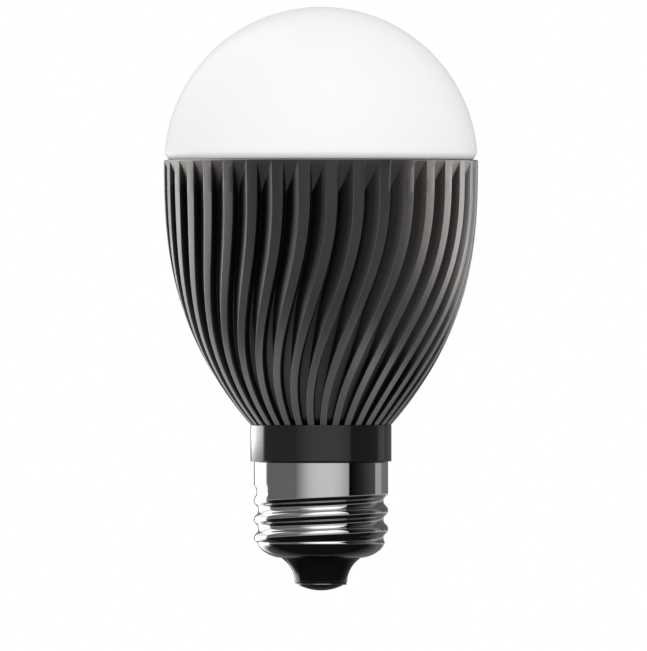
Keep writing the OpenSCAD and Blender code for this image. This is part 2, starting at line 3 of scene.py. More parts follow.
import bpy
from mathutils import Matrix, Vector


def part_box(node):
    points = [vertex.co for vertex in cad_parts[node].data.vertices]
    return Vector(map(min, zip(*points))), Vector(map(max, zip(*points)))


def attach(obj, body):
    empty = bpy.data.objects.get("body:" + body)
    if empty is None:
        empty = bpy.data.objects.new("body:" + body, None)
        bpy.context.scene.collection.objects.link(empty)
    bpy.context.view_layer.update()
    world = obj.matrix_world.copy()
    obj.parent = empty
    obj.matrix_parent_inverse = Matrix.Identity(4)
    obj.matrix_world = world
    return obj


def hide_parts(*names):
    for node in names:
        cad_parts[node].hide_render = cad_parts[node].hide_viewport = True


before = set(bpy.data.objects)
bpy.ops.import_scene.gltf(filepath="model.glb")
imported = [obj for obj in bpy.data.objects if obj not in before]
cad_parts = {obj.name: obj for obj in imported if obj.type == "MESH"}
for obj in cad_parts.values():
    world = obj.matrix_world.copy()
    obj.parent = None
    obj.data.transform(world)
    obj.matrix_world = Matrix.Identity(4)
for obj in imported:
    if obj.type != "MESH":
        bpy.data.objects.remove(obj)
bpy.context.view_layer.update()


# Driver board
# A T-shaped glass-epoxy board with a green solder mask: the wide head stands in the housing's cup and the
# tail reaches down the neck to the cap. It slides into rails in the housing.
def add_node(tree, kind, feeds, **settings):
    """Adds a shader node. Each feed is a constant for a socket, or the output that is linked to it."""
    node = tree.nodes.new("ShaderNode" + kind)
    for setting, value in settings.items():
        setattr(node, setting, value)
    for socket, feed in feeds.items():
        if isinstance(feed, bpy.types.NodeSocket):
            tree.links.new(feed, node.inputs[socket])
        else:
            node.inputs[socket].default_value = feed
    return node


def map_range(tree, value, start, end, low=0.0, high=1.0):
    """Lets a value that runs from start to end run from low to high."""
    feeds = {"Value": value, "From Min": start, "From Max": end, "To Min": low, "To Max": high}
    return add_node(tree, "MapRange", feeds).outputs["Result"]


def mix_colours(tree, share, first, second):
    """Goes over from one colour to another."""
    feeds = {"Factor": share, "A": first, "B": second}
    return add_node(tree, "Mix", feeds, data_type="RGBA").outputs["Result"]


def reckon(tree, operation, *terms):
    """Works out one sum on sockets and numbers."""
    return add_node(tree, "Math", dict(enumerate(terms)), operation=operation).outputs["Value"]


grain_detail = 4
wander_scale = 90
wander_detail = 3
smoothest = 0.02


def fine_grain_group():
    """Noise on the piece itself: a height for bump and a value that wanders round one half."""
    group = bpy.data.node_groups.new("fine_grain", "ShaderNodeTree")
    for socket, way in (("Scale", "INPUT"), ("Detail", "INPUT"), ("Height", "OUTPUT"), ("Wander", "OUTPUT")):
        group.interface.new_socket(socket, in_out=way, socket_type="NodeSocketFloat")
    given = group.nodes.new("NodeGroupInput").outputs
    place = add_node(group, "TexCoord", {}).outputs["Object"]
    fine = add_node(group, "TexNoise", {"Vector": place, "Scale": given["Scale"], "Detail": given["Detail"]})
    broad = add_node(group, "TexNoise", {"Vector": place, "Scale": wander_scale, "Detail": wander_detail})
    result = group.nodes.new("NodeGroupOutput").inputs
    group.links.new(fine.outputs["Fac"], result["Height"])
    group.links.new(broad.outputs["Fac"], result["Wander"])
    return group


fine_grain = fine_grain_group()


def finish_material(name, colour, roughness, metallic=0.0, grain=2500, bump=0.00002, wander=0.1):
    """A procedural finish: its colour and roughness wander a little and its surface has a fine grain."""
    material = bpy.data.materials.new(name)
    material.use_nodes = True
    tree = material.node_tree
    texture = add_node(tree, "Group", {"Scale": grain, "Detail": grain_detail}, node_tree=fine_grain).outputs
    darker = (*[c * (1 - wander) for c in colour], 1)
    lighter = (*[min(1, c * (1 + wander)) for c in colour], 1)
    tint = mix_colours(tree, texture["Wander"], darker, lighter)
    smoother = max(smoothest, roughness * (1 - 2 * wander))
    rougher = min(1, roughness * (1 + 2 * wander))
    rough = map_range(tree, texture["Wander"], 0, 1, smoother, rougher)
    relief = add_node(tree, "Bump", {"Height": texture["Height"], "Distance": bump})
    shader = tree.nodes["Principled BSDF"]
    shader.inputs["Metallic"].default_value = metallic
    tree.links.new(tint, shader.inputs["Base Color"])
    tree.links.new(rough, shader.inputs["Roughness"])
    tree.links.new(relief.outputs["Normal"], shader.inputs["Normal"])
    return material


track_grid = 0.00127
track_half = 0.16
upright_share = 0.45


def show_tracks(material, colour):
    """Shows the copper under an upright board's mask: in each cell of a grid a track runs up or across."""
    tree = material.node_tree
    shader = tree.nodes["Principled BSDF"]
    mask = shader.inputs["Base Color"].links[0].from_socket
    place = add_node(tree, "TexCoord", {}).outputs["Object"]
    axes = add_node(tree, "SeparateXYZ", {"Vector": place}).outputs
    cells = [reckon(tree, "DIVIDE", axes[axis], track_grid) for axis in "XZ"]
    corners = [reckon(tree, "SNAP", along, 1) for along in cells]
    halves = [reckon(tree, "PINGPONG", reckon(tree, "ADD", along, 0.5), 0.5) for along in cells]
    upright, level = [reckon(tree, "GREATER_THAN", half, 0.5 - track_half) for half in halves]
    cell = add_node(tree, "CombineXYZ", {"X": corners[0], "Y": corners[1]}).outputs["Vector"]
    chance = add_node(tree, "TexWhiteNoise", {"Vector": cell}, noise_dimensions="2D").outputs["Value"]
    runs_level = reckon(tree, "GREATER_THAN", chance, upright_share)
    track = add_node(tree, "Mix", {"Factor": runs_level, "A": upright, "B": level}).outputs["Result"]
    tree.links.new(mix_colours(tree, track, mask, (*colour, 1)), shader.inputs["Base Color"])


def copy_node(node, name):
    """Copies a CAD node into a new piece and joins its loose triangles to whole faces."""
    bpy.ops.object.select_all(action="DESELECT")
    piece = bpy.data.objects.new(name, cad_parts[node].data.copy())
    piece.data.materials.clear()
    bpy.context.scene.collection.objects.link(piece)
    bpy.context.view_layer.objects.active = piece
    piece.select_set(True)
    bpy.ops.mesh.customdata_custom_splitnormals_clear()
    bpy.ops.object.mode_set(mode="EDIT")
    bpy.ops.mesh.select_all(action="SELECT")
    bpy.ops.mesh.remove_doubles(threshold=1e-6)
    bpy.ops.mesh.dissolve_limited(angle_limit=math.radians(2))
    bpy.ops.object.mode_set(mode="OBJECT")
    return piece


def smooth_faces(piece, crease):
    """Smooths all but creases, and lets the large faces rule so that flats beside a rounding stay flat."""
    bpy.ops.object.shade_smooth_by_angle(angle=math.radians(crease))
    level = piece.modifiers.new("flats", "WEIGHTED_NORMAL")
    level.weight = 90
    level.keep_sharp = True
    bpy.ops.object.modifier_apply(modifier="flats")


def round_edges(piece, width, segments=2):
    """Takes the sharpness off all edges of a piece."""
    edges = piece.modifiers.new("edges", "BEVEL")
    edges.width = width
    edges.segments = segments
    edges.limit_method = "ANGLE"
    edges.angle_limit = math.radians(40)
    bpy.ops.object.modifier_apply(modifier="edges")
    smooth_faces(piece, 35)


def install(piece, material, node, body="bulb"):
    """Gives a piece its finish and its body, and lets it stand for a CAD node."""
    piece.data.materials.append(material)
    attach(piece, body)
    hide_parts(node)


def install_soft(node, name, width, material, segments=2):
    """Installs a copy of a CAD node with rounded edges."""
    piece = copy_node(node, name)
    round_edges(piece, width, segments)
    install(piece, material, node)
    return piece


board_green = finish_material("board_green", (0.02, 0.13, 0.05), 0.35)
show_tracks(board_green, (0.045, 0.21, 0.085))
install_soft("driver_board", "green_driver_board", 0.0001, board_green)


# Transformer and choke
# Pressed ferrite cores that carry the windings. The transformer's coil is bound in yellow tape, and the
# choke's turns of enamelled copper lie bare. Both stand on the front of the driver board.
def arc(centre, radius, start, end, steps):
    """Points on an arc in the plane of radius and height, angles in degrees."""
    angles = [math.radians(start + (end - start) * i / steps) for i in range(steps + 1)]
    return [(centre[0] + radius * math.cos(a), centre[1] + radius * math.sin(a)) for a in angles]


def foot_round(radius, height, edge, steps=4):
    """The round edge at the foot of a turned outline."""
    return arc((radius - edge, height + edge), edge, -90, 0, steps)


def top_round(radius, height, edge, steps=4):
    """The round edge at the top of a turned outline."""
    return arc((radius - edge, height - edge), edge, 0, 90, steps)


def rounded(before, corner, after, reach):
    """Three points that take the sharpness off a corner."""
    def towards(end):
        length = math.dist(corner, end)
        step = min(reach, 0.4 * length) / length
        return [c + (e - c) * step for c, e in zip(corner, end)]
    first, last = towards(before), towards(after)
    middle = [(f + 2 * c + e) / 4 for f, c, e in zip(first, corner, last)]
    return [first, middle, last]


def turn(name, outline, at=(0, 0), steps=160):
    """Turns an outline of (radius, height) points into a solid, ring by ring, as on a lathe."""
    bpy.ops.object.select_all(action="DESELECT")
    radius, height = outline[0]
    bpy.ops.mesh.primitive_circle_add(vertices=steps, radius=radius, location=(0, 0, height))
    piece = bpy.context.object
    piece.name = name
    bpy.ops.object.transform_apply(location=True)
    bpy.ops.object.mode_set(mode="EDIT")
    bpy.ops.mesh.select_all(action="SELECT")
    for next_radius, next_height in outline[1:]:
        rise = (0, 0, next_height - height)
        bpy.ops.mesh.extrude_edges_move(TRANSFORM_OT_translate={"value": rise})
        size = next_radius / radius
        bpy.ops.transform.resize(value=(size, size, 1), center_override=(0, 0, 0))
        radius, height = next_radius, next_height
    bpy.ops.mesh.select_all(action="SELECT")
    bpy.ops.mesh.remove_doubles(threshold=2e-6)
    bpy.ops.mesh.normals_make_consistent(inside=False)
    bpy.ops.transform.translate(value=(*at, 0))
    bpy.ops.object.mode_set(mode="OBJECT")
    smooth_faces(piece, 35)
    return piece


def middle_of(node):
    """Where a node's upright axis stands, and its radius."""
    low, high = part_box(node)
    return ((low.x + high.x) / 2, (low.y + high.y) / 2), (high.x - low.x) / 2


POLE = 1e-7
component_steps = 96


def spool(name, node, waist, flange, slope, edge, steps):
    """A turned spool that fills a node's box: flanges with round edges, and slopes to a waist."""
    low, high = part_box(node)
    axis, radius = middle_of(node)
    return turn(name, [(POLE, low.z)] + foot_round(radius, low.z, edge, steps)
                + [(radius, low.z + flange), (waist, low.z + flange + slope),
                   (waist, high.z - flange - slope), (radius, high.z - flange)]
                + top_round(radius, high.z, edge, steps) + [(POLE, high.z)], axis, component_steps)


ferrite = finish_material("ferrite", (0.09, 0.09, 0.095), 0.55, grain=5000, bump=0.00003)
install_soft("transformer_core", "ferrite_core", 0.0003, ferrite)
tape_low, tape_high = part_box("transformer_winding")
tape_axis, tape_radius = middle_of("transformer_winding")
tape_bore = 0.0021
tape_lap = 0.0001
tape_round = 0.0004
tape_joint_up = 0.6
tape_joint = tape_low.z + tape_joint_up * (tape_high.z - tape_low.z)
tape_coil = turn("taped_coil", [(tape_bore, tape_low.z)]
                 + foot_round(tape_radius, tape_low.z, tape_round, 5)
                 + [(tape_radius, tape_joint), (tape_radius - tape_lap, tape_joint + tape_lap / 2)]
                 + top_round(tape_radius - tape_lap, tape_high.z, tape_round, 5)
                 + [(tape_bore, tape_high.z), (tape_bore, tape_low.z)], tape_axis, component_steps)
winding_tape = finish_material("winding_tape", (0.75, 0.52, 0.06), 0.3)
install(tape_coil, winding_tape, "transformer_winding")

bobbin_limb = 0.0014
bobbin = spool("choke_bobbin", "choke_core", bobbin_limb, flange=0.0012, slope=0, edge=0.0003, steps=4)
install(bobbin, ferrite, "choke_core")
wire_low, wire_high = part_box("choke_winding")
wire_axis, wire_radius = middle_of("choke_winding")
wire_gap = 0.00005
wire_bore = bobbin_limb + wire_gap
wire_turns = 14
wire_half = (wire_high.z - wire_low.z) / wire_turns / 2
wire_outline = [(wire_bore, wire_low.z)]
for lap in range(wire_turns):
    wire_middle = (wire_radius - wire_half, wire_low.z + (2 * lap + 1) * wire_half)
    wire_outline += arc(wire_middle, wire_half, -85, 85, 6)
wire_outline += [(wire_bore, wire_high.z), (wire_bore, wire_low.z)]
copper_turns = turn("copper_turns", wire_outline, wire_axis, component_steps)
enamel = finish_material("enamelled_copper", (0.55, 0.22, 0.08), 0.25, metallic=1)
install(copper_turns, enamel, "choke_winding")


# Capacitors, resistor and varistor
# Electrolytic cans in dark shrink sleeve, open over the bare aluminium end, a dipped film capacitor, a
# ceramic fuse resistor with end caps, and a disc varistor in blue epoxy, all soldered to the driver board.
can_edge = 0.0003
can_neck_up = 0.002
can_neck_half = 0.0006
can_neck_depth = 0.0004
sleeve_edge = 0.0007
sleeve_lip = 0.00015
can_sleeve = finish_material("can_sleeve", (0.02, 0.03, 0.12), 0.25)
bare_aluminium = finish_material("bare_aluminium", (0.7, 0.71, 0.72), 0.35, metallic=1)


def electrolytic(node, name):
    """A can in its sleeve, with the rolled neck near its foot and the bare end in the sleeve's opening."""
    low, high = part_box(node)
    axis, radius = middle_of(node)
    neck_middle = low.z + can_neck_up
    neck = [(radius - can_neck_depth * math.cos(math.radians(t)), neck_middle + can_neck_half * t / 90)
            for t in range(-90, 91, 15)]
    opening = radius - sleeve_edge
    piece = turn(name, [(POLE, low.z)] + foot_round(radius, low.z, can_edge) + neck
                 + top_round(radius, high.z, can_edge)
                 + [(opening, high.z), (opening - sleeve_lip, high.z - sleeve_lip),
                    (POLE, high.z - sleeve_lip)], axis, component_steps)
    install(piece, can_sleeve, node)
    piece.data.materials.append(bare_aluminium)
    for face in piece.data.polygons:
        away = math.dist(face.center[:2], axis)
        face.material_index = int(face.center.z > high.z - can_edge and away < opening)


electrolytic("input_capacitor", "input_can")
electrolytic("output_capacitor", "output_can")
amber_epoxy = finish_material("amber_epoxy", (0.6, 0.32, 0.04), 0.25)
install_soft("film_capacitor", "dipped_film", 0.0009, amber_epoxy, 4)
fuse = spool("capped_resistor", "fuse_resistor", 0.00125, flange=0.0016, slope=0.0006, edge=0.0005, steps=5)
resistor_coat = finish_material("resistor_coat", (0.3, 0.5, 0.38), 0.5)
install(fuse, resistor_coat, "fuse_resistor")
blue_epoxy = finish_material("blue_epoxy", (0.03, 0.1, 0.4), 0.3)
install_soft("varistor", "disc_varistor", 0.0006, blue_epoxy, 4)


# Chips
# Moulded black epoxy bodies on flat tinned legs: rectifier, controller, power switch and output diode.
# They lie flat on the driver board and are soldered to it by their legs.
leg_reach = 0.00088
chip_epoxy = finish_material("chip_epoxy", (0.018, 0.018, 0.02), 0.5, grain=6000, bump=0.00003)
tinned = finish_material("tinned_can", (0.72, 0.72, 0.7), 0.28, metallic=1)
for chip in ("bridge_rectifier", "control_chip", "power_switch", "output_diode"):
    chip_low, chip_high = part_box(chip)
    chip_piece = install_soft(chip, "moulded_" + chip, 0.00006, chip_epoxy)
    chip_piece.data.materials.append(tinned)
    for face in chip_piece.data.polygons:
        past_body = face.center.z < chip_low.z + leg_reach or face.center.z > chip_high.z - leg_reach
        face.material_index = int(past_body)


# Driver housing and cover
# A white moulded funnel lines the heat sink and keeps the mains parts away from the metal. The driver board
# stands in its rails, and a moulded lid closes its cup.
white_moulding = finish_material("white_moulding", (0.78, 0.78, 0.76), 0.45)
install_soft("driver_housing", "moulded_funnel", 0.00015, white_moulding)
install_soft("driver_cover", "moulded_lid", 0.0002, white_moulding)


# Leads
# Two wires in soft silicone run down from the tail of the driver board, live to the centre contact and
# neutral to the shell. They are soldered at both ends.
def round_lead(node, name):
    """A copy of a lead's eight-sided tube, rounded."""
    piece = copy_node(node, name)
    smooth = piece.modifiers.new("round", "SUBSURF")
    smooth.levels = 2
    smooth.render_levels = 2
    bpy.ops.object.modifier_apply(modifier="round")
    smooth_faces(piece, 60)
    return piece


red_silicone = finish_material("red_silicone", (0.42, 0.02, 0.015), 0.5)
install(round_lead("live_lead", "red_lead"), red_silicone, "live_lead")
white_silicone = finish_material("white_silicone", (0.76, 0.76, 0.74), 0.5)
install(round_lead("neutral_lead", "white_lead"), white_silicone, "neutral_lead")


# Centre contact
# A domed metal button riveted through the insulator. The dome's metal is coloured dark as a painted shade,
# and the edge of its rolled rim is coloured lighter as a painted highlight.
contact_low, contact_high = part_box("centre_contact")
contact_radius = contact_high.x
insulator_low, insulator_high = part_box("base_insulator")
dome_height = insulator_low.z - contact_low.z
dome_radius = (contact_radius ** 2 + dome_height ** 2) / (2 * dome_height)
dome_half = math.degrees(math.asin(contact_radius / dome_radius))
button_lip = 0.0002
highlighted_reach = 1.6 * button_lip
stem_radius = 0.00145
contact = turn("contact_button", [(POLE, contact_low.z)]
               + arc((0, dome_radius), dome_radius, -89, -90 + dome_half - 2, 16)
               + arc((contact_radius - button_lip, insulator_low.z - button_lip), button_lip, -40, 90, 5)
               + [(stem_radius, insulator_low.z), (stem_radius, contact_high.z), (POLE, contact_high.z)])
# The dome's dark colour is a painted shade.
contact_metal = finish_material("contact_metal", (0.13, 0.128, 0.125), 0.28, metallic=1, wander=0.2)
install(contact, contact_metal, "centre_contact")
# The rim's edge gets a lighter colour, a painted highlight.
contact.data.materials.append(finish_material("highlighted_rim", (0.4, 0.395, 0.39), 0.25, metallic=1))
for face in contact.data.polygons:
    below = insulator_low.z - face.center.z
    face.material_index = int(0 < below < highlighted_reach)


# Base insulator
# Black glass fused into the foot of the shell. It flares from the contact up to the shell's opening, and a
# flange inside the shell keeps it there.
contact_gap = 0.0001
opening_gap = 0.0002
glass_edge = 0.0002
flange_start = 0.0006
flange_full = 0.0013
insulator_foot = contact_radius + contact_gap
shell_open = 0.0081
insulator_top = shell_open - opening_gap
shell_low, shell_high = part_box("screw_shell")
flare_rise = shell_low.z - insulator_low.z
flare_run = insulator_top - insulator_foot
flare_radius = (flare_rise ** 2 + flare_run ** 2) / (2 * flare_run)
flare_turn = math.degrees(math.asin(flare_rise / flare_radius))
contact_hole = 0.0016
flange_radius = insulator_high.x
flare_middle = (insulator_foot + flare_radius, insulator_low.z)
insulator = turn("glass_insulator", [(contact_hole, insulator_low.z)]
                 + foot_round(insulator_foot, insulator_low.z, glass_edge)
                 + arc(flare_middle, flare_radius, 178, 180 - flare_turn, 20)
                 + [(insulator_top, shell_low.z + flange_start), (flange_radius, shell_low.z + flange_full),
                    (flange_radius, insulator_high.z), (contact_hole, insulator_high.z),
                    (contact_hole, insulator_low.z)])
black_glass = finish_material("black_glass", (0.006, 0.006, 0.0065), 0.08, bump=0.000002)
install(insulator, black_glass, "base_insulator")


# Screw shell
# Thin brass sheet with a coarse round thread rolled into it, then nickel plated. The thread runs out into a
# plain skirt, which is crimped on the collar.
shell_wall = 0.0003
skirt_radius = shell_high.x
thread_pitch = 0.003629
thread_depth = 0.0009
thread_foot = 0.00925
thread_top = 0.0225
crest_height = 0.012
foot_lip = 0.0124
foot_blend = 0.0005
foot_fullness = 1.6
runout_start = math.radians(150)
runout_turn = math.radians(75)


def ease(t):
    """A soft step from nought to one."""
    t = min(1, max(0, t))
    return t * t * (3 - 2 * t)


def rolled_depth(turn_on):
    """How far the rolled thread lies below its crest: round crest and round valley of one radius."""
    half = thread_pitch / 2
    lean = 2 * math.atan(thread_depth / half)
    round_radius = half / (2 * math.sin(lean))
    from_crest = abs((turn_on / (2 * math.pi) + 0.5) % 1 - 0.5) * thread_pitch
    from_end = min(from_crest, half - from_crest)
    sag = round_radius - math.sqrt(round_radius ** 2 - from_end ** 2)
    return sag if from_crest < half / 2 else thread_depth - sag


def thread_radius(height, angle):
    """Outside radius of the rolled sheet: two full grooves, then a last one that runs out into the skirt."""
    turn_on = 2 * math.pi * (height - crest_height) / thread_pitch - angle
    share = 1
    if turn_on > 2 * math.pi:
        share = 1 - ease((angle - runout_start) / runout_turn)
    if turn_on > 4 * math.pi:
        share = 0
    radius = skirt_radius - share * rolled_depth(turn_on)
    return foot_lip + (radius - foot_lip) * ease((height - thread_foot) / foot_blend)


def wrap(name, rings, shades=None):
    """Lays a grid over rings of points and joins its seams. Shades, one for each point, go into the mesh."""
    bpy.ops.object.select_all(action="DESELECT")
    columns = len(rings[0])
    bpy.ops.mesh.primitive_grid_add(x_subdivisions=columns, y_subdivisions=len(rings) - 1)
    piece = bpy.context.object
    piece.name = name
    places = [point for ring in rings for point in ring + ring[:1]]
    for vertex, place in zip(piece.data.vertices, places, strict=True):
        vertex.co = place
    if shades:
        shade = piece.data.attributes.new("shade", "FLOAT", "POINT")
        values = [value for ring in shades for value in ring + ring[:1]]
        shade.data.foreach_set("value", values)
    bpy.ops.object.mode_set(mode="EDIT")
    bpy.ops.mesh.select_all(action="SELECT")
    bpy.ops.mesh.remove_doubles(threshold=1e-7)
    bpy.ops.mesh.normals_make_consistent(inside=False)
    bpy.ops.object.mode_set(mode="OBJECT")
    return piece


def ring_points(reach, height, columns, start=0.0):
    """Points round the axis at one height. Reach is a radius, or a function that gives one for an angle."""
    angles = [start + 2 * math.pi * i / columns for i in range(columns)]
    radii = [reach(a) if callable(reach) else reach for a in angles]
    return [(r * math.cos(a), r * math.sin(a), height) for r, a in zip(radii, angles)]


shell_columns = 180
thread_rows = 160
foot_run = foot_lip - shell_open
foot_rise = thread_foot - shell_low.z
foot_rows = 18
shell_rings = []
for row in range(foot_rows):
    a = math.radians(90 * (1 - row / foot_rows))
    inward = math.cos(a) ** (2 / foot_fullness)
    down = math.sin(a) ** (2 / foot_fullness)
    foot_height = thread_foot - foot_rise * down
    shell_rings.append(ring_points(shell_open + foot_run * inward, foot_height, shell_columns))
for row in range(thread_rows + 1):
    row_height = thread_foot + (thread_top - thread_foot) * row / thread_rows
    shell_rings.append(ring_points(lambda a: thread_radius(row_height, a), row_height, shell_columns))
skirt_foot = 0.0235
skirt_middle = 0.0246
skirt_lip = 0.0002
lip_hold = 0.0001
lip_bulge = 0.00006
skirt_top = shell_high.z
skirt_outline = [(skirt_radius, skirt_foot), (skirt_radius, skirt_middle),
                 (skirt_radius, skirt_top - skirt_lip - lip_hold), (skirt_radius, skirt_top - skirt_lip),
                 (skirt_radius - lip_bulge, skirt_top - lip_bulge), (skirt_radius - skirt_lip, skirt_top)]
shell_rings += [ring_points(radius, height, shell_columns) for radius, height in skirt_outline]
shell = wrap("threaded_shell", shell_rings)
thickness = shell.modifiers.new("sheet", "SOLIDIFY")
thickness.thickness = shell_wall
thickness.offset = -1
bpy.ops.object.modifier_apply(modifier="sheet")
smooth_faces(shell, 40)
nickel_white = (0.612, 0.611, 0.608)
bright_nickel = finish_material("bright_nickel", nickel_white, 0.045, metallic=1, grain=1800, bump=0.000001)
install(shell, bright_nickel, "screw_shell")


# Base collar
# A gloss black moulded ring between the cap and the heat sink. Its sleeve carries the shell, and its spigot
# plugs into the foot of the heat sink.
collar_low, collar_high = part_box("base_collar")
collar_radius = collar_high.x
collar_foot = shell_high.z
sink_low, sink_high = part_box("heat_sink")
collar_bore = 0.0087
sleeve_radius = 0.0117
spigot_wall = 0.0016
spigot_radius = collar_bore + spigot_wall
soft_edge = 0.0002
collar = turn("black_collar", [(collar_bore, collar_low.z), (sleeve_radius, collar_low.z),
                               (sleeve_radius, collar_foot)]
              + foot_round(collar_radius, collar_foot, soft_edge)
              + top_round(collar_radius, sink_low.z, soft_edge)
              + [(spigot_radius, sink_low.z), (spigot_radius, collar_high.z), (collar_bore, collar_high.z),
                 (collar_bore, collar_low.z)])
gloss_black = finish_material("gloss_black", (0.012, 0.0118, 0.012), 0.1, grain=900, bump=0.000002)
install(collar, gloss_black, "base_collar")


# Heat sink
# One dark anodised casting. Each groove drops straight in beside one fin and climbs on a slope to the next,
# and a flat facet closes it at the rim. The fins sweep round on their way down, where the grooves open out.
rim_drop = 0.0003
rim_height = sink_high.z - rim_drop
sink_height = rim_height - sink_low.z
rim_radius = 0.03065
fin_count = 36
fin_first = math.radians(-86)
fin_rim_width = 0.00235
fin_foot_width = 0.0013
groove_slope = math.radians(35)
groove_root = 0.0003
groove_draft = 0.0001
groove_foot_depth = 0.0014
groove_foot_run = 0.00015
groove_opens_at = 0.45
groove_open_at = 0.9
ramp_height = 0.0062
rim_band = 0.00035
rim_chamfer = 0.0002
seat_chamfer = 0.00015
straight_height = 0.0052
fin_twist = math.radians(22)
belly_power = 2.65
sweep_power = 1.3
edge_round = 0.00013
# How strongly each fin's left edge gets its painted highlight.
edge_highlight = 0.28
slope_shares = (0.35, 0.7)
# The rim's facets and the open foot get less painted shade.
facet_shade = 0.15
facet_from = 0.98
open_foot = 0.75
open_foot_light = 0.35


def down_share(height):
    """How far down the heat sink a height lies: nought at the rim, one at the foot."""
    return (rim_height - height) / sink_height


def fin_radius(height):
    """Outside radius of the fins, which belly in to the collar."""
    return rim_radius - (rim_radius - collar_radius) * down_share(height) ** belly_power


def fin_turn(height):
    """How far the fins have swept round at a height."""
    below = max(0, (rim_height - height - straight_height) / (sink_height - straight_height))
    return -fin_twist * ease(below ** sweep_power)


def fin_outline(height, groove_share):
    """One fin and its groove, across and deep: tip face, straight drop, root and slope to the next fin."""
    radius = fin_radius(height)
    pitch = 2 * math.pi * radius / fin_count
    down = down_share(height)
    width = fin_rim_width + (fin_foot_width - fin_rim_width) * down
    run = pitch - width - groove_root
    run += (groove_foot_run - run) * ease((down - groove_opens_at) / (groove_open_at - groove_opens_at))
    depth = (groove_rim_depth + (groove_foot_depth - groove_rim_depth) * down) * groove_share
    left = (-width / 2, 0)
    right = (width / 2, 0)
    root_start = (width / 2 + groove_draft * groove_share, depth)
    root_end = (pitch - width / 2 - run * groove_share, depth)
    next_left = (pitch - width / 2, 0)
    outline = rounded((root_end[0] - pitch, depth), left, right, edge_round)
    outline += [(0, 0)]
    outline += rounded(left, right, root_start, edge_round)
    outline += rounded(right, root_start, root_end, 2 * edge_round)
    outline += rounded(root_start, root_end, next_left, edge_round)
    for share in slope_shares:
        outline.append([e + (n - e) * share for e, n in zip(root_end, next_left)])
    return outline


def fin_ring(height, groove_share):
    """All fins at a height."""
    radius = fin_radius(height)
    outline = fin_outline(height, groove_share)
    points = []
    for fin in range(fin_count):
        middle = fin_first + fin_turn(height) + 2 * math.pi * fin / fin_count
        for across, deep in outline:
            angle = middle + across / radius
            points.append(((radius - deep) * math.cos(angle), (radius - deep) * math.sin(angle), height))
    return points


def groove_shade(height, groove_share):
    """Painted shade for each point of a ring of fins, by how deep it lies, less on the rim's facets and the
    open foot. A minus on each fin's left edge marks a painted highlight.
    """
    outline = fin_outline(height, groove_share)
    deepest = max(deep for across, deep in outline)
    at_foot = ease((down_share(height) - open_foot) / (1 - open_foot))
    shades = []
    for across, deep in outline:
        share = deep / groove_rim_depth * (1 - open_foot_light * at_foot)
        if groove_share < 1 and deep > facet_from * deepest:
            share = min(share, facet_shade)
        shades.append(share)
    # The middle of each fin's left edge is marked for a painted highlight.
    shades[1] = -edge_highlight * groove_share
    return shades * fin_count


def plain_ring(radius, height):
    """A round ring whose points lie under those of the rim's outline."""
    angles = [math.atan2(y, x) for x, y, z in fin_ring(rim_height, groove_begin)]
    return [(radius * math.cos(a), radius * math.sin(a), height) for a in angles]


def paint_groove_shade(material):
    """Paints shade into the grooves by the depth in the mesh, and paints a highlight on the edges that it
    marks with a minus.
    """
    tree = material.node_tree
    shader = tree.nodes["Principled BSDF"]
    tint = shader.inputs["Base Color"].links[0].from_socket
    depth = add_node(tree, "Attribute", {}, attribute_name="shade").outputs["Fac"]
    shaded = mix_colours(tree, map_range(tree, depth, *shaded_depths), tint, (*groove_painted_shade, 1))
    highlighted = mix_colours(tree, map_range(tree, depth, 0, -1), shaded, (*painted_highlight, 1))
    tree.links.new(highlighted, shader.inputs["Base Color"])


# Colours painted by the shade attribute: a painted shade in the grooves and a painted highlight on the edges.
groove_painted_shade = (0.026, 0.0245, 0.0235)
shaded_depths = (0.04, 0.38)
painted_highlight = (0.25, 0.245, 0.24)
groove_begin = 0.02
groove_run = 2 * math.pi * rim_radius / fin_count - fin_rim_width - groove_root
groove_rim_depth = groove_run * math.tan(groove_slope)
plug_gap = 0.00015
cup_gap = 0.00025
cone_up = 0.0052
cone_rise = 0.019
seat_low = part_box("mounting_plate")[0].z
seat_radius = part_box("globe_seal")[1].x + plug_gap
cup_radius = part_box("driver_housing")[1].x + cup_gap
foot_bore = spigot_radius + plug_gap
cone_foot = sink_low.z + cone_up
cone_top = cone_foot + cone_rise
ramp_top = rim_height - rim_band
fin_rows = 64
ramp_rows = 14
levels = []
for row in range(fin_rows + 1):
    levels.append((sink_low.z + (ramp_top - ramp_height - sink_low.z) * row / fin_rows, 1))
for row in range(1, ramp_rows + 1):
    share = 1 + (groove_begin - 1) * row / ramp_rows
    levels.append((ramp_top - ramp_height * (1 - row / ramp_rows), share))
rings = [fin_ring(height, share) for height, share in levels]
shades = [groove_shade(height, share) for height, share in levels]
edge_hold = 0.00001
chamfer_foot = rim_height - rim_chamfer
chamfer_in = rim_radius - rim_chamfer
# The rim's chamfer is marked -1 for a painted highlight.
rim_outline = [(rim_radius, ramp_top + 2 * edge_hold, 0), (rim_radius, chamfer_foot - edge_hold, 0),
               (rim_radius, chamfer_foot, -1), (chamfer_in, rim_height, -1),
               (chamfer_in - edge_hold, rim_height, 0), (seat_radius + seat_chamfer, rim_height, 0),
               (seat_radius, rim_height - seat_chamfer, 0),
               (seat_radius, seat_low, 0), (cup_radius, seat_low, 0), (cup_radius, cone_top, 0),
               (foot_bore, cone_foot, 0), (foot_bore, sink_low.z, 0)]
for radius, height, shade in rim_outline:
    rings.append(plain_ring(radius, height))
    shades.append([shade] * len(rings[0]))
rings.append(rings[0])
shades.append(shades[0])
heat_sink = wrap("finned_body", rings, shades)
smooth_faces(heat_sink, 38)
anodised_black = (0.06, 0.057, 0.055)
anodised = finish_material("dark_anodised", anodised_black, 0.42, metallic=1, grain=5200, bump=0.000012)
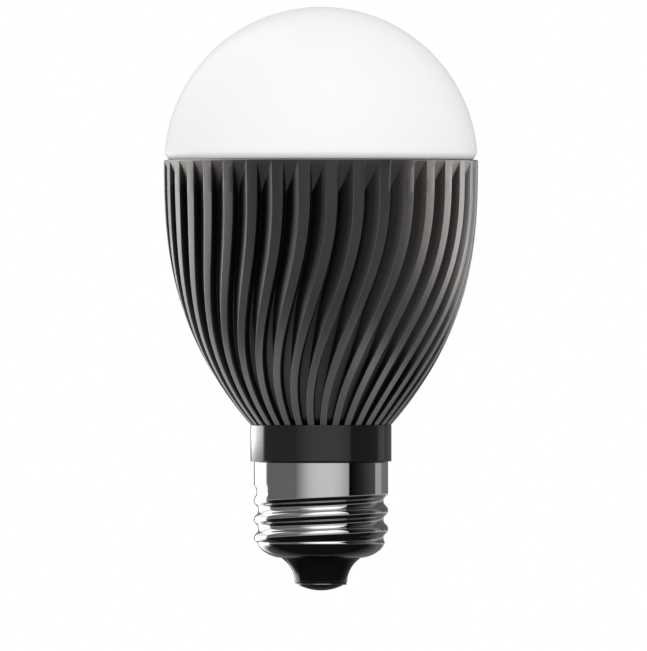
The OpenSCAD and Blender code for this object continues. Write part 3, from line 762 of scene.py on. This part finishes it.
# The grooves get painted shade by their depth, and the fins' left edges and the rim's chamfer get a painted
# highlight.
paint_groove_shade(anodised)
install(heat_sink, anodised, "heat_sink")


# Mounting plate, thermal pad and plate screws
# A stamped aluminium plate held to the ledge by three countersunk screws, with a soft pad on it that takes
# the heat of the LED board.
zinc_steel = finish_material("zinc_steel", (0.62, 0.63, 0.65), 0.25, metallic=1)
screw_radius = 0.0015
screw_pitch = 0.0005
screw_thread = 0.00022
ridge_start = 0.2
screw_head = 0.0023
screw_head_rise = 0.0013
screw_round = 0.00035
head_edge = 0.0001
hex_half = 0.0011
hex_depth = 0.0007
hex_chamfer = 0.00008
screw_columns = 48


def hex_reach(half, angle):
    """How far a hexagon reaches at an angle."""
    return half * math.cos(math.pi / 6) / math.cos(angle % (math.pi / 3) - math.pi / 6)


def threaded_shank(point, head_foot):
    """Outline of a screw's shank: a blunt point and the ridges of the thread."""
    outline = [(POLE, point), (screw_radius - 2 * screw_thread, point)]
    ridges = int((head_foot - point) / screw_pitch)
    for ridge in range(ridges):
        height = point + screw_pitch * (ridge + ridge_start)
        outline += [(screw_radius - screw_thread, height), (screw_radius, height + screw_pitch / 2)]
    return outline


def screw(name, outline, top):
    """A screw from its outline, with a hexagon sunk in its head."""
    solid = [ring_points(radius, height, screw_columns) for radius, height in outline]
    for half, down in ((hex_half + hex_chamfer, 0), (hex_half, hex_chamfer), (hex_half, hex_depth)):
        solid.append(ring_points(lambda a: hex_reach(half, a), top - down, screw_columns))
    solid.append(ring_points(POLE, top - hex_depth, screw_columns))
    piece = wrap(name, solid)
    smooth_faces(piece, 35)
    return piece


def place_around(model, name, count, radius, first):
    """Copies a model to places round the axis, each turned to face outward, and joins the copies."""
    bpy.ops.object.select_all(action="DESELECT")
    for i in range(count):
        angle = math.radians(first) + 2 * math.pi * i / count
        copy = bpy.data.objects.new(name, model.data.copy())
        bpy.context.scene.collection.objects.link(copy)
        copy.location = (radius * math.cos(angle), radius * math.sin(angle), 0)
        copy.rotation_euler = (0, 0, angle)
        copy.select_set(True)
    bpy.data.objects.remove(model)
    bpy.context.view_layer.objects.active = copy
    bpy.ops.object.transform_apply(location=True, rotation=True)
    bpy.ops.object.join()
    copy.name = name
    return copy


install_soft("mounting_plate", "stamped_plate", 0.00012, bare_aluminium)
pad_blue = finish_material("thermal_silicone", (0.3, 0.42, 0.55), 0.7)
install_soft("thermal_pad", "soft_pad", 0.00005, pad_blue)
plate_low, plate_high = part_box("plate_screws")
plate_head_foot = plate_high.z - screw_head_rise
plate_screw = screw("plate_screw", threaded_shank(plate_low.z, plate_head_foot - screw_pitch)
                    + [(screw_radius, plate_head_foot), (screw_head, plate_high.z - head_edge),
                       (screw_head - head_edge, plate_high.z)], plate_high.z)
plate_ring = plate_high.y - screw_head
plate_screws = place_around(plate_screw, "countersunk_screws", count=3, radius=plate_ring, first=90)
install(plate_screws, zinc_steel, "plate_screws")


# LED board and its screws
# An aluminium-core disc under white solder mask. The copper under the mask stands up as rings and spokes,
# and three pan-head screws press the disc on the pad.
led_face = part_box("led_board")[1].z
white_mask = finish_material("white_solder_mask", (0.8, 0.8, 0.78), 0.35)
install_soft("led_board", "white_led_board", 0.00012, white_mask)
white_ring = 0.02011
colour_ring = 0.0125
track_lift = 0.00006
track_slope = 0.00005
colour_step = 0.0011
track_rings = ((white_ring, 0.0016), (0.01755, 0.0005), (0.0226, 0.0005), (colour_ring - colour_step, 0.0007),
               (colour_ring, 0.0007), (colour_ring + colour_step, 0.0007))


def track_ring(radius, width):
    """One round copper track under the mask."""
    inside, outside = radius - width / 2, radius + width / 2
    return turn("copper_tracks", [(inside, led_face), (inside + track_slope, led_face + track_lift),
                                  (outside - track_slope, led_face + track_lift), (outside, led_face),
                                  (inside, led_face)])


def bar(name, low, high, soft, taper=1.0):
    """A block between two corners with its top drawn in and its edges rounded."""
    bpy.ops.object.select_all(action="DESELECT")
    centre = [(a + b) / 2 for a, b in zip(low, high)]
    bpy.ops.mesh.primitive_cube_add(size=1, location=centre)
    piece = bpy.context.object
    piece.name = name
    piece.scale = [b - a for a, b in zip(low, high)]
    bpy.ops.object.transform_apply(location=True, scale=True)
    bpy.ops.object.mode_set(mode="EDIT")
    bpy.ops.mesh.select_all(action="DESELECT")
    bpy.ops.object.mode_set(mode="OBJECT")
    for face in piece.data.polygons:
        face.select = face.normal.z > 0.9
    bpy.ops.object.mode_set(mode="EDIT")
    bpy.ops.transform.resize(value=(taper, taper, 1), center_override=centre)
    bpy.ops.object.mode_set(mode="OBJECT")
    round_edges(piece, soft)
    return piece


def join(pieces, name):
    """Joins pieces to one."""
    bpy.ops.object.select_all(action="DESELECT")
    for piece in pieces:
        piece.select_set(True)
    bpy.context.view_layer.objects.active = pieces[0]
    bpy.ops.object.join()
    pieces[0].name = name
    return pieces[0]


header_pitch = 0.00254
spoke_half = 0.0005
spoke_sunk = 0.00002
spoke_soft = 0.00002
spoke_lift = 0.7 * track_lift
spoke_lap = 0.0005
spoke_start = -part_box("led_socket")[0].y - spoke_lap
tracks = [track_ring(radius, width) for radius, width in track_rings]
for pin in range(4):
    spoke_x = (pin - 1.5) * header_pitch
    spoke_end = math.sqrt((colour_ring + colour_step * (pin - 1)) ** 2 - spoke_x ** 2)
    tracks.append(bar("spoke", (spoke_x - spoke_half, -spoke_end, led_face - spoke_sunk),
                      (spoke_x + spoke_half, -spoke_start, led_face + spoke_lift), spoke_soft))
tracks_piece = join(tracks, "copper_tracks")
masked_copper = finish_material("masked_copper", (0.74, 0.73, 0.68), 0.3)
install(tracks_piece, masked_copper, "led_board")
pan_low, pan_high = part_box("board_screws")
pan_screw = screw("pan_screw", threaded_shank(pan_low.z, led_face - screw_pitch)
                  + [(screw_radius, led_face), (screw_head - head_edge, led_face),
                     (screw_head, led_face + head_edge)]
                  + top_round(screw_head, pan_high.z, 2 * screw_round, 6), pan_high.z)
pan_ring = -pan_low.y - screw_head
pan_screws = place_around(pan_screw, "pan_head_screws", count=3, radius=pan_ring, first=30)
install(pan_screws, zinc_steel, "board_screws")


# LEDs
# White ones on the outer ring: a moulded tray filled with yellow phosphor. Colour ones inside: a deeper tray
# with a red, a green and a blue die in it. Both are soldered by tinned tabs at their sides.
tray_white = finish_material("led_tray", (0.84, 0.84, 0.82), 0.3)
phosphor = finish_material("yellow_phosphor", (0.82, 0.6, 0.08), 0.35, grain=9000, bump=0.00004)
tray_columns = 64
tray_start = math.pi / tray_columns
tray_edge = 0.00008
tray_fullness = 14
cup_draft = 0.3
tab_under = 0.0001
tab_out = 0.0004
tab_soft = 0.00004
tab_taper = 0.7


def square_reach(half_x, half_y, angle):
    """How far a rectangle with small round corners reaches at an angle."""
    shares = (abs(math.cos(angle)) / half_x, abs(math.sin(angle)) / half_y)
    return sum(share ** tray_fullness for share in shares) ** (-1 / tray_fullness)


def led_tray(name, half_x, half_y, top, window, sunk):
    """A moulded tray on the board with a round cup in its top."""
    def cup(reach, height):
        return ring_points(reach, height, tray_columns, tray_start)

    def square(inset, height):
        return cup(lambda a: square_reach(half_x - inset, half_y - inset, a), height)

    piece = wrap(name, [cup(POLE, led_face), square(0, led_face), square(0, top - tray_edge),
                        square(tray_edge, top), cup(window + tray_edge, top), cup(window, top - tray_edge),
                        cup(window - cup_draft * sunk, top - sunk), cup(POLE, top - sunk)])
    smooth_faces(piece, 30)
    return piece


def solder_tabs(name, count, half_y, spread, width, rise):
    """Tinned tabs along two sides of a tray, each with a fillet of solder that slopes to the board."""
    tabs = []
    for side in (-1, 1):
        for i in range(count):
            x = (i - (count - 1) / 2) * spread
            ends = sorted((side * (half_y - tab_under), side * (half_y + tab_out)))
            low = (x - width / 2, ends[0], led_face)
            high = (x + width / 2, ends[1], led_face + rise)
            tabs.append(bar(name, low, high, tab_soft, tab_taper))
    return join(tabs, name)


def spread_leds(model, name, count, ring, first, material, node, slot):
    """Installs copies of a model on a ring of LEDs."""
    install(place_around(model, name, count, ring, first), material, node)


white_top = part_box("white_leds")[1].z
white_half = (0.0014, 0.00175)
white_window = 0.00115
white_sunk = 0.00022
white_row = (12, white_ring, 15)
tray = led_tray("white_tray", *white_half, white_top, white_window, white_sunk)
spread_leds(tray, "white_led_trays", *white_row, tray_white, "white_leds", "white_phosphor")
fill_gap = 0.00006
fill_lift = 0.00001
fill_draft = 0.00004
fill_edge = white_window - fill_gap
fill_floor = white_top - white_sunk + fill_lift
fill_dips = ((fill_edge, 0.0001), (0.7 * fill_edge, 0.00006), (0.35 * fill_edge, 0.00004), (POLE, 0.00003))
fill = turn("phosphor", [(POLE, fill_floor), (fill_edge - fill_draft, fill_floor)]
            + [(radius, white_top - dip) for radius, dip in fill_dips], steps=48)
spread_leds(fill, "phosphor_fills", *white_row, phosphor, "white_leds", "white_phosphor")
tabs = solder_tabs("white_tab", 1, white_half[1], spread=0, width=0.0019, rise=0.0003)
spread_leds(tabs, "white_led_tabs", *white_row, tinned, "white_leds", "tinned_can")

colour_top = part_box("colour_leds")[1].z
colour_half = 0.0025
colour_window = 0.0019
colour_sunk = 0.0005
colour_row = (6, colour_ring, 0)
tray = led_tray("colour_tray", colour_half, colour_half, colour_top, colour_window, colour_sunk)
spread_leds(tray, "colour_led_trays", *colour_row, tray_white, "colour_leds", "colour_led_tray")
tabs = solder_tabs("colour_tab", 3, colour_half, spread=0.0017, width=0.0009, rise=0.0006)
spread_leds(tabs, "colour_led_tabs", *colour_row, tinned, "colour_leds", "tinned_can")
die_half = 0.00032
die_away = 0.0008
die_tall = 0.00018
die_soft = 0.00003
die_taper = 0.85
die_floor = colour_top - colour_sunk
die_colours = (("red", (0.42, 0.16, 0.08)), ("green", (0.22, 0.4, 0.26)), ("blue", (0.16, 0.27, 0.48)))
for die, (colour_name, colour) in enumerate(die_colours):
    angle = math.radians(90 + 120 * die)
    x, y = die_away * math.cos(angle), die_away * math.sin(angle)
    chip_die = bar(colour_name + "_die", (x - die_half, y - die_half, die_floor),
                   (x + die_half, y + die_half, die_floor + die_tall), die_soft, die_taper)
    die_finish = finish_material(colour_name + "_die", colour, 0.2)
    spread_leds(chip_die, colour_name + "_dies", *colour_row, die_finish, "colour_leds", "colour_led_tray")


# Header, socket and radio
# Four gilt pins come up from the driver board into a nylon socket on the LED board. The radio board stands
# up through the window into the globe, with its aerial as a gilt meander above the tinned shield can.
natural_nylon = finish_material("natural_nylon", (0.75, 0.7, 0.56), 0.4)
install_soft("led_socket", "nylon_socket", 0.0002, natural_nylon)
gilt = finish_material("gilt", (0.8, 0.58, 0.2), 0.2, metallic=1)
install_soft("header_pins", "gilt_pins", 0.0001, gilt)
black_nylon = finish_material("black_nylon", (0.02, 0.02, 0.022), 0.5)
install_soft("header_body", "header_block", 0.0002, black_nylon)
install_soft("radio_header", "radio_header_block", 0.0002, black_nylon)
install_soft("radio_board", "green_radio_board", 0.00006, board_green)
install_soft("radio_shield", "shield_can", 0.0003, tinned, 3)
radio_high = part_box("radio_board")[1]
aerial_width = 0.0006
aerial_rise = 0.00004
aerial_loops = 6
aerial_above_can = 0.0009
aerial_side_edge = 0.0009
aerial_top_edge = 0.0007
aerial_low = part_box("radio_shield")[1].z + aerial_above_can
aerial_high = radio_high.z - aerial_top_edge
aerial_half = radio_high.x - aerial_side_edge
aerial_path = []
for loop in range(aerial_loops + 1):
    x = -aerial_half + 2 * aerial_half * loop / aerial_loops
    ends = (aerial_low, aerial_high) if loop % 2 == 0 else (aerial_high, aerial_low)
    aerial_path += [(x, ends[0]), (x, ends[1])]


def flat_strip(name, path, face, rise, width):
    """A flat track along square corners on an upright face, as thick as its rise."""
    runs = []
    for start, end in zip(path, path[1:]):
        length = math.dist(start, end)
        runs.append([(e - s) / length for s, e in zip(start, end)])
    rings = []
    for (x, z), into, out_of in zip(path, runs[:1] + runs, runs + runs[-1:]):
        reach = width / 2 / (1 + into[0] * out_of[0] + into[1] * out_of[1])
        side_x = -(into[1] + out_of[1]) * reach
        side_z = (into[0] + out_of[0]) * reach
        rings.append([(x + side_x, face, z + side_z), (x + side_x, face + rise, z + side_z),
                      (x - side_x, face + rise, z - side_z), (x - side_x, face, z - side_z)])
    ends = [[(x, face + rise / 2, z)] * 4 for x, z in (path[0], path[-1])]
    return wrap(name, [ends[0], *rings, ends[1]])


aerial = flat_strip("gilt_aerial", aerial_path, radio_high.y, aerial_rise, aerial_width)
install(aerial, gilt, "radio_board")


# Globe and its seal
# A milky moulded dome with a rounded edge. Its spigot plugs into the rim on a bead of silicone, which holds
# it until it is pulled.
seal_low, seal_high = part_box("globe_seal")
seal_width = 0.0015
seal_bore = seal_high.x - seal_width
seal_round = 0.00018
seal = turn("silicone_bead", [(seal_bore, seal_low.z), (seal_high.x, seal_low.z)]
            + top_round(seal_high.x, seal_high.z, seal_round)
            + arc((seal_bore + seal_round, seal_high.z - seal_round), seal_round, 90, 180, 4)
            + [(seal_bore, seal_low.z)])
bead_silicone = finish_material("silicone_bead", (0.72, 0.72, 0.7), 0.5)
install(seal, bead_silicone, "globe_seal")
globe_low, globe_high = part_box("globe")
globe_radius = 0.03055
globe_wall = 0.0016
globe_gap = 0.00002
globe_edge = rim_height + globe_gap
globe_centre = globe_high.z - globe_radius
lip_height = 0.0013
lip_run = 0.0008
lip_round = 0.0004
lip_top = globe_edge + lip_height
lip_corner = (math.sqrt(globe_radius ** 2 - (lip_top - globe_centre) ** 2), lip_top)
lip_foot = (lip_corner[0] - lip_run, globe_edge)
dome_end = math.degrees(math.asin((lip_top + lip_round - globe_centre) / globe_radius))
above_lip = arc((0, globe_centre), globe_radius, dome_end, dome_end, 1)[0]
plug_wall = 0.0015
plug_edge = 0.0002
plug_out = seal_high.x
plug_in = plug_out - plug_wall
plug_floor = 0.0013
flange_top = globe_edge + plug_floor
inner_radius = globe_radius - globe_wall
inner_start = math.degrees(math.asin((flange_top - globe_centre) / inner_radius))
globe = turn("milky_globe", [(POLE, globe_high.z)]
             + arc((0, globe_centre), globe_radius, 89.5, dome_end, 64)
             + rounded(above_lip, lip_corner, lip_foot, lip_round)[1:]
             + rounded(lip_corner, lip_foot, (plug_out, globe_edge), edge_round)
             + [(plug_out, globe_edge), (plug_out, globe_low.z + plug_edge),
                (plug_out - plug_edge, globe_low.z), (plug_in, globe_low.z), (plug_in, flange_top)]
             + arc((0, globe_centre), inner_radius, inner_start, 89.5, 40)
             + [(POLE, globe_centre + inner_radius)])
globe_gloss = 0.05
milky = finish_material("milky_plastic", (0.93, 0.93, 0.93), 0.35, grain=1500, bump=0.000001, wander=0.01)
milky.node_tree.nodes["Principled BSDF"].inputs["Specular IOR Level"].default_value = globe_gloss
install(globe, milky, "globe", "globe")


# Studio
# A pale round floor under the bulb, a white background and soft light. A drum of light and dark cloths that
# only reflections see gives the metal its bright and dark bands.
floor_height = -0.02
floor_grey = (0.8, 0.8, 0.8, 1)
floor_glow = 0.3
white = (1, 1, 1, 1)
drum_radius = 0.45
drum_foot = -0.05
drum_top = 1.3


def stage_disc(name, height, material, sides=64):
    """A flat round piece of the studio, as wide as the drum."""
    bpy.ops.object.select_all(action="DESELECT")
    bpy.ops.mesh.primitive_circle_add(vertices=sides, radius=drum_radius, fill_type="NGON",
                                      location=(0, 0, height))
    disc = bpy.context.object
    disc.name = name
    disc.data.materials.append(material)
    return disc


def white_rays(tree):
    """One for rays from the camera, off a gloss or through glass, and nought for the rest."""
    path = add_node(tree, "LightPath", {}).outputs
    either = reckon(tree, "MAXIMUM", path["Is Camera Ray"], path["Is Glossy Ray"])
    return reckon(tree, "MAXIMUM", either, path["Is Transmission Ray"])


floor_material = bpy.data.materials.new("pale_floor")
floor_material.use_nodes = True
floor_tree = floor_material.node_tree
floor_sockets = floor_tree.nodes["Principled BSDF"].inputs
floor_sockets["Base Color"].default_value = floor_grey
floor_sockets["Roughness"].default_value = 1
floor_sockets["Specular IOR Level"].default_value = 0
floor_sockets["Emission Color"].default_value = white
floor_light = reckon(floor_tree, "MULTIPLY", white_rays(floor_tree), floor_glow)
floor_tree.links.new(floor_light, floor_sockets["Emission Strength"])
floor = stage_disc("floor", floor_height, floor_material, 128)
floor.visible_diffuse = False


def glow_material(name, strength):
    """A surface that only shines. Returns its material and its emission node."""
    material = bpy.data.materials.new(name)
    material.use_nodes = True
    tree = material.node_tree
    tree.nodes.remove(tree.nodes["Principled BSDF"])
    glow = add_node(tree, "Emission", {"Strength": strength})
    tree.links.new(glow.outputs["Emission"], tree.nodes["Material Output"].inputs["Surface"])
    return material, glow


def stage_reflection(thing):
    """Puts a piece on the stage for the reflections alone."""
    for rays in ("camera", "diffuse", "transmission", "shadow", "volume_scatter"):
        setattr(thing, "visible_" + rays, False)


drum_gain = 8
band_blend = 0.0006
drum_bands = ((0, 1.9, 0.18, 0.82, 0.5), (0.025, 7.2, 0.18, 0.8, 0.53), (0.036, 1.8, 0.18, 0.72, 0.24),
              (0.09, 1.2, 0.18, 0.72, 0.24), (0.22, 1.8, 0.3, 1.9, 0.24))


def cloths(strip, left, front, right):
    """Pairs of bearing and brightness: a strip behind on the left, a cloth to each side, and a black one."""
    return ((-180, 0.15), (-160, 0.2), (-155, strip), (-111, strip), (-105, left), (-44, left),
            (-33, 0.5 * front), (-22, 0.79 * front), (-12, 0.93 * front), (0, front), (20, front),
            (30, 0.93 * front), (40, 0.75 * front), (48.2, 0.6 * front), (48.8, 0), (70, 0.02), (106, 0.1),
            (107, right), (125, right), (126, 0.5 * right), (180, 0.15))


def ring_of_cloths(tree, stops, place):
    """Brightness round the axis from pairs of bearing and brightness, 0 at the camera, plus to the right."""
    around = add_node(tree, "TexGradient", {"Vector": place}, gradient_type="RADIAL").outputs["Fac"]
    ramp = add_node(tree, "ValToRGB", {"Fac": around})
    spots = sorted(((bearing / 360 + 0.25) % 1, bright / drum_gain) for bearing, bright in stops)
    elements = ramp.color_ramp.elements
    elements.remove(elements[1])
    elements[0].position = spots[0][0]
    elements[0].color = (*[spots[0][1]] * 3, 1)
    for position, bright in spots[1:]:
        elements.new(position).color = (bright, bright, bright, 1)
    return ramp.outputs["Color"]


cloth_lift = 0.0005
front_fade = (0.005, 0.05, 0.008, 0.16)
corner_fade = (0.05, 0.1, 0, drum_gain)
outer_rise = (0.11, 0.3, 0, 0.45)
white_corner = ((-180, 0), (-160, 0), (-155, 1.9), (-111, 1.9), (-105, 0), (180, 0))
cloth_material, cloth_glow = glow_material("black_cloth", 1)
cloth_tree = cloth_material.node_tree
cloth_place = add_node(cloth_tree, "TexCoord", {}).outputs["Object"]
cloth_back = add_node(cloth_tree, "SeparateXYZ", {"Vector": cloth_place}).outputs["Y"]
cloth_away = add_node(cloth_tree, "VectorMath", {0: cloth_place}, operation="LENGTH").outputs["Value"]
cloth_corner = ring_of_cloths(cloth_tree, white_corner, cloth_place)
cloth_grey = map_range(cloth_tree, cloth_back, *front_fade)
cloth_white = map_range(cloth_tree, cloth_away, *corner_fade)
cloth_outer = map_range(cloth_tree, cloth_away, *outer_rise)
cloth_inner = reckon(cloth_tree, "MULTIPLY_ADD", cloth_corner, cloth_white, cloth_grey)
cloth_light = reckon(cloth_tree, "ADD", cloth_inner, cloth_outer)
cloth_tree.links.new(cloth_light, cloth_glow.inputs["Strength"])
stage_reflection(stage_disc("black_cloth", floor_height + cloth_lift, cloth_material))

bpy.ops.object.select_all(action="DESELECT")
bpy.ops.mesh.primitive_cylinder_add(vertices=180, radius=drum_radius, depth=drum_top - drum_foot,
                                    end_fill_type="NOTHING", location=(0, 0, (drum_top + drum_foot) / 2))
bpy.ops.object.transform_apply(location=True)
drum = bpy.context.object
drum.name = "reflection_drum"
drum_material, drum_glow = glow_material("drum_cloths", drum_gain)
drum_tree = drum_material.node_tree
drum_place = add_node(drum_tree, "TexCoord", {}).outputs["Object"]
drum_height = add_node(drum_tree, "SeparateXYZ", {"Vector": drum_place}).outputs["Z"]
drum_light = ring_of_cloths(drum_tree, cloths(*drum_bands[0][1:]), drum_place)
for band_foot, *band_lights in drum_bands[1:]:
    band_share = map_range(drum_tree, drum_height, band_foot - band_blend, band_foot + band_blend)
    band_ring = ring_of_cloths(drum_tree, cloths(*band_lights), drum_place)
    drum_light = mix_colours(drum_tree, band_share, drum_light, band_ring)
drum_tree.links.new(drum_light, drum_glow.inputs["Color"])
drum.data.materials.append(drum_material)
stage_reflection(drum)
ceiling_glow = 0.25
ceiling_material = glow_material("dark_ceiling", ceiling_glow)[0]
stage_reflection(stage_disc("dark_ceiling", drum_top, ceiling_material))

sky_fade = (-0.4, 0.15, 0.75, 0.95)
world = bpy.data.worlds.new("white_studio")
bpy.context.scene.world = world
world.use_nodes = True
sky = world.node_tree
sky_place = add_node(sky, "TexCoord", {}).outputs["Generated"]
sky_up = add_node(sky, "SeparateXYZ", {"Vector": sky_place}).outputs["Z"]
sky_grey = map_range(sky, sky_up, *sky_fade)
sky_light = add_node(sky, "Mix", {"Factor": white_rays(sky), "A": sky_grey, "B": 1})
sky.links.new(sky_light.outputs["Result"], sky.nodes["Background"].inputs["Strength"])
sky.nodes["Background"].inputs["Color"].default_value = white


def soft_box(name, bearing, away, height, width, tall, power):
    """A rectangular lamp that faces the axis. Bearing 0 is at the camera, plus to the right."""
    lamp = bpy.data.lights.new(name, "AREA")
    lamp.shape = "RECTANGLE"
    lamp.size = width
    lamp.size_y = tall
    lamp.energy = power
    box = bpy.data.objects.new(name, lamp)
    bpy.context.scene.collection.objects.link(box)
    angle = math.radians(bearing)
    box.location = (away * math.sin(angle), -away * math.cos(angle), height)
    box.rotation_euler = (math.pi / 2, 0, angle)
    box.visible_camera = False
    return box


front_box = soft_box("front_box", bearing=0, away=0.8, height=0.1, width=0.6, tall=0.5, power=1)
front_box.visible_glossy = False
fin_light = bpy.data.collections.new("fin_light")
fin_light.objects.link(heat_sink)
bounce_up = floor_height + 0.002
glow_up = floor_height + 0.004
floor_bounce = soft_box("floor_bounce", bearing=0, away=0, height=bounce_up, width=0.8, tall=0.8, power=0.9)
under_glow = soft_box("under_glow", bearing=0, away=0.02, height=glow_up, width=0.12, tall=0.1, power=0.036)
for up_box in (floor_bounce, under_glow):
    up_box.rotation_euler = (math.pi, 0, 0)
side_boxes = (soft_box("left_box", bearing=-104, away=0.36, height=0.14, width=0.46, tall=0.3, power=1.65),
              soft_box("right_box", bearing=106, away=0.36, height=0.03, width=0.46, tall=0.3, power=2.45),
              soft_box("low_left", bearing=-70, away=0.06, height=-0.01, width=0.1, tall=0.03, power=0.024),
              soft_box("low_right", bearing=70, away=0.06, height=-0.01, width=0.1, tall=0.03, power=0.03))
for fin_box in (floor_bounce, under_glow, *side_boxes):
    fin_box.light_linking.receiver_collection = fin_light


# Camera
# A very long lens straight in front of the bulb, so that its outline shows next to no perspective. The
# picture has the photograph's rows and scale, with the axis and the tip of the bulb where they are there.
lens = 1000
sensor = 36
metres_per_pixel = 0.000195
picture_rows = 651
axis_left = 2.5
tip_below = 265
camera_data = bpy.data.cameras.new("camera")
camera_data.lens = lens
camera_data.sensor_width = sensor
camera_data.clip_end = 10
camera = bpy.data.objects.new("camera", camera_data)
bpy.context.scene.collection.objects.link(camera)
distance = picture_rows * metres_per_pixel * lens / sensor
camera.location = (axis_left * metres_per_pixel, -distance, tip_below * metres_per_pixel)
camera.rotation_euler = (math.pi / 2, 0, 0)
bpy.context.scene.camera = camera
bpy.context.scene.view_settings.view_transform = "Standard"
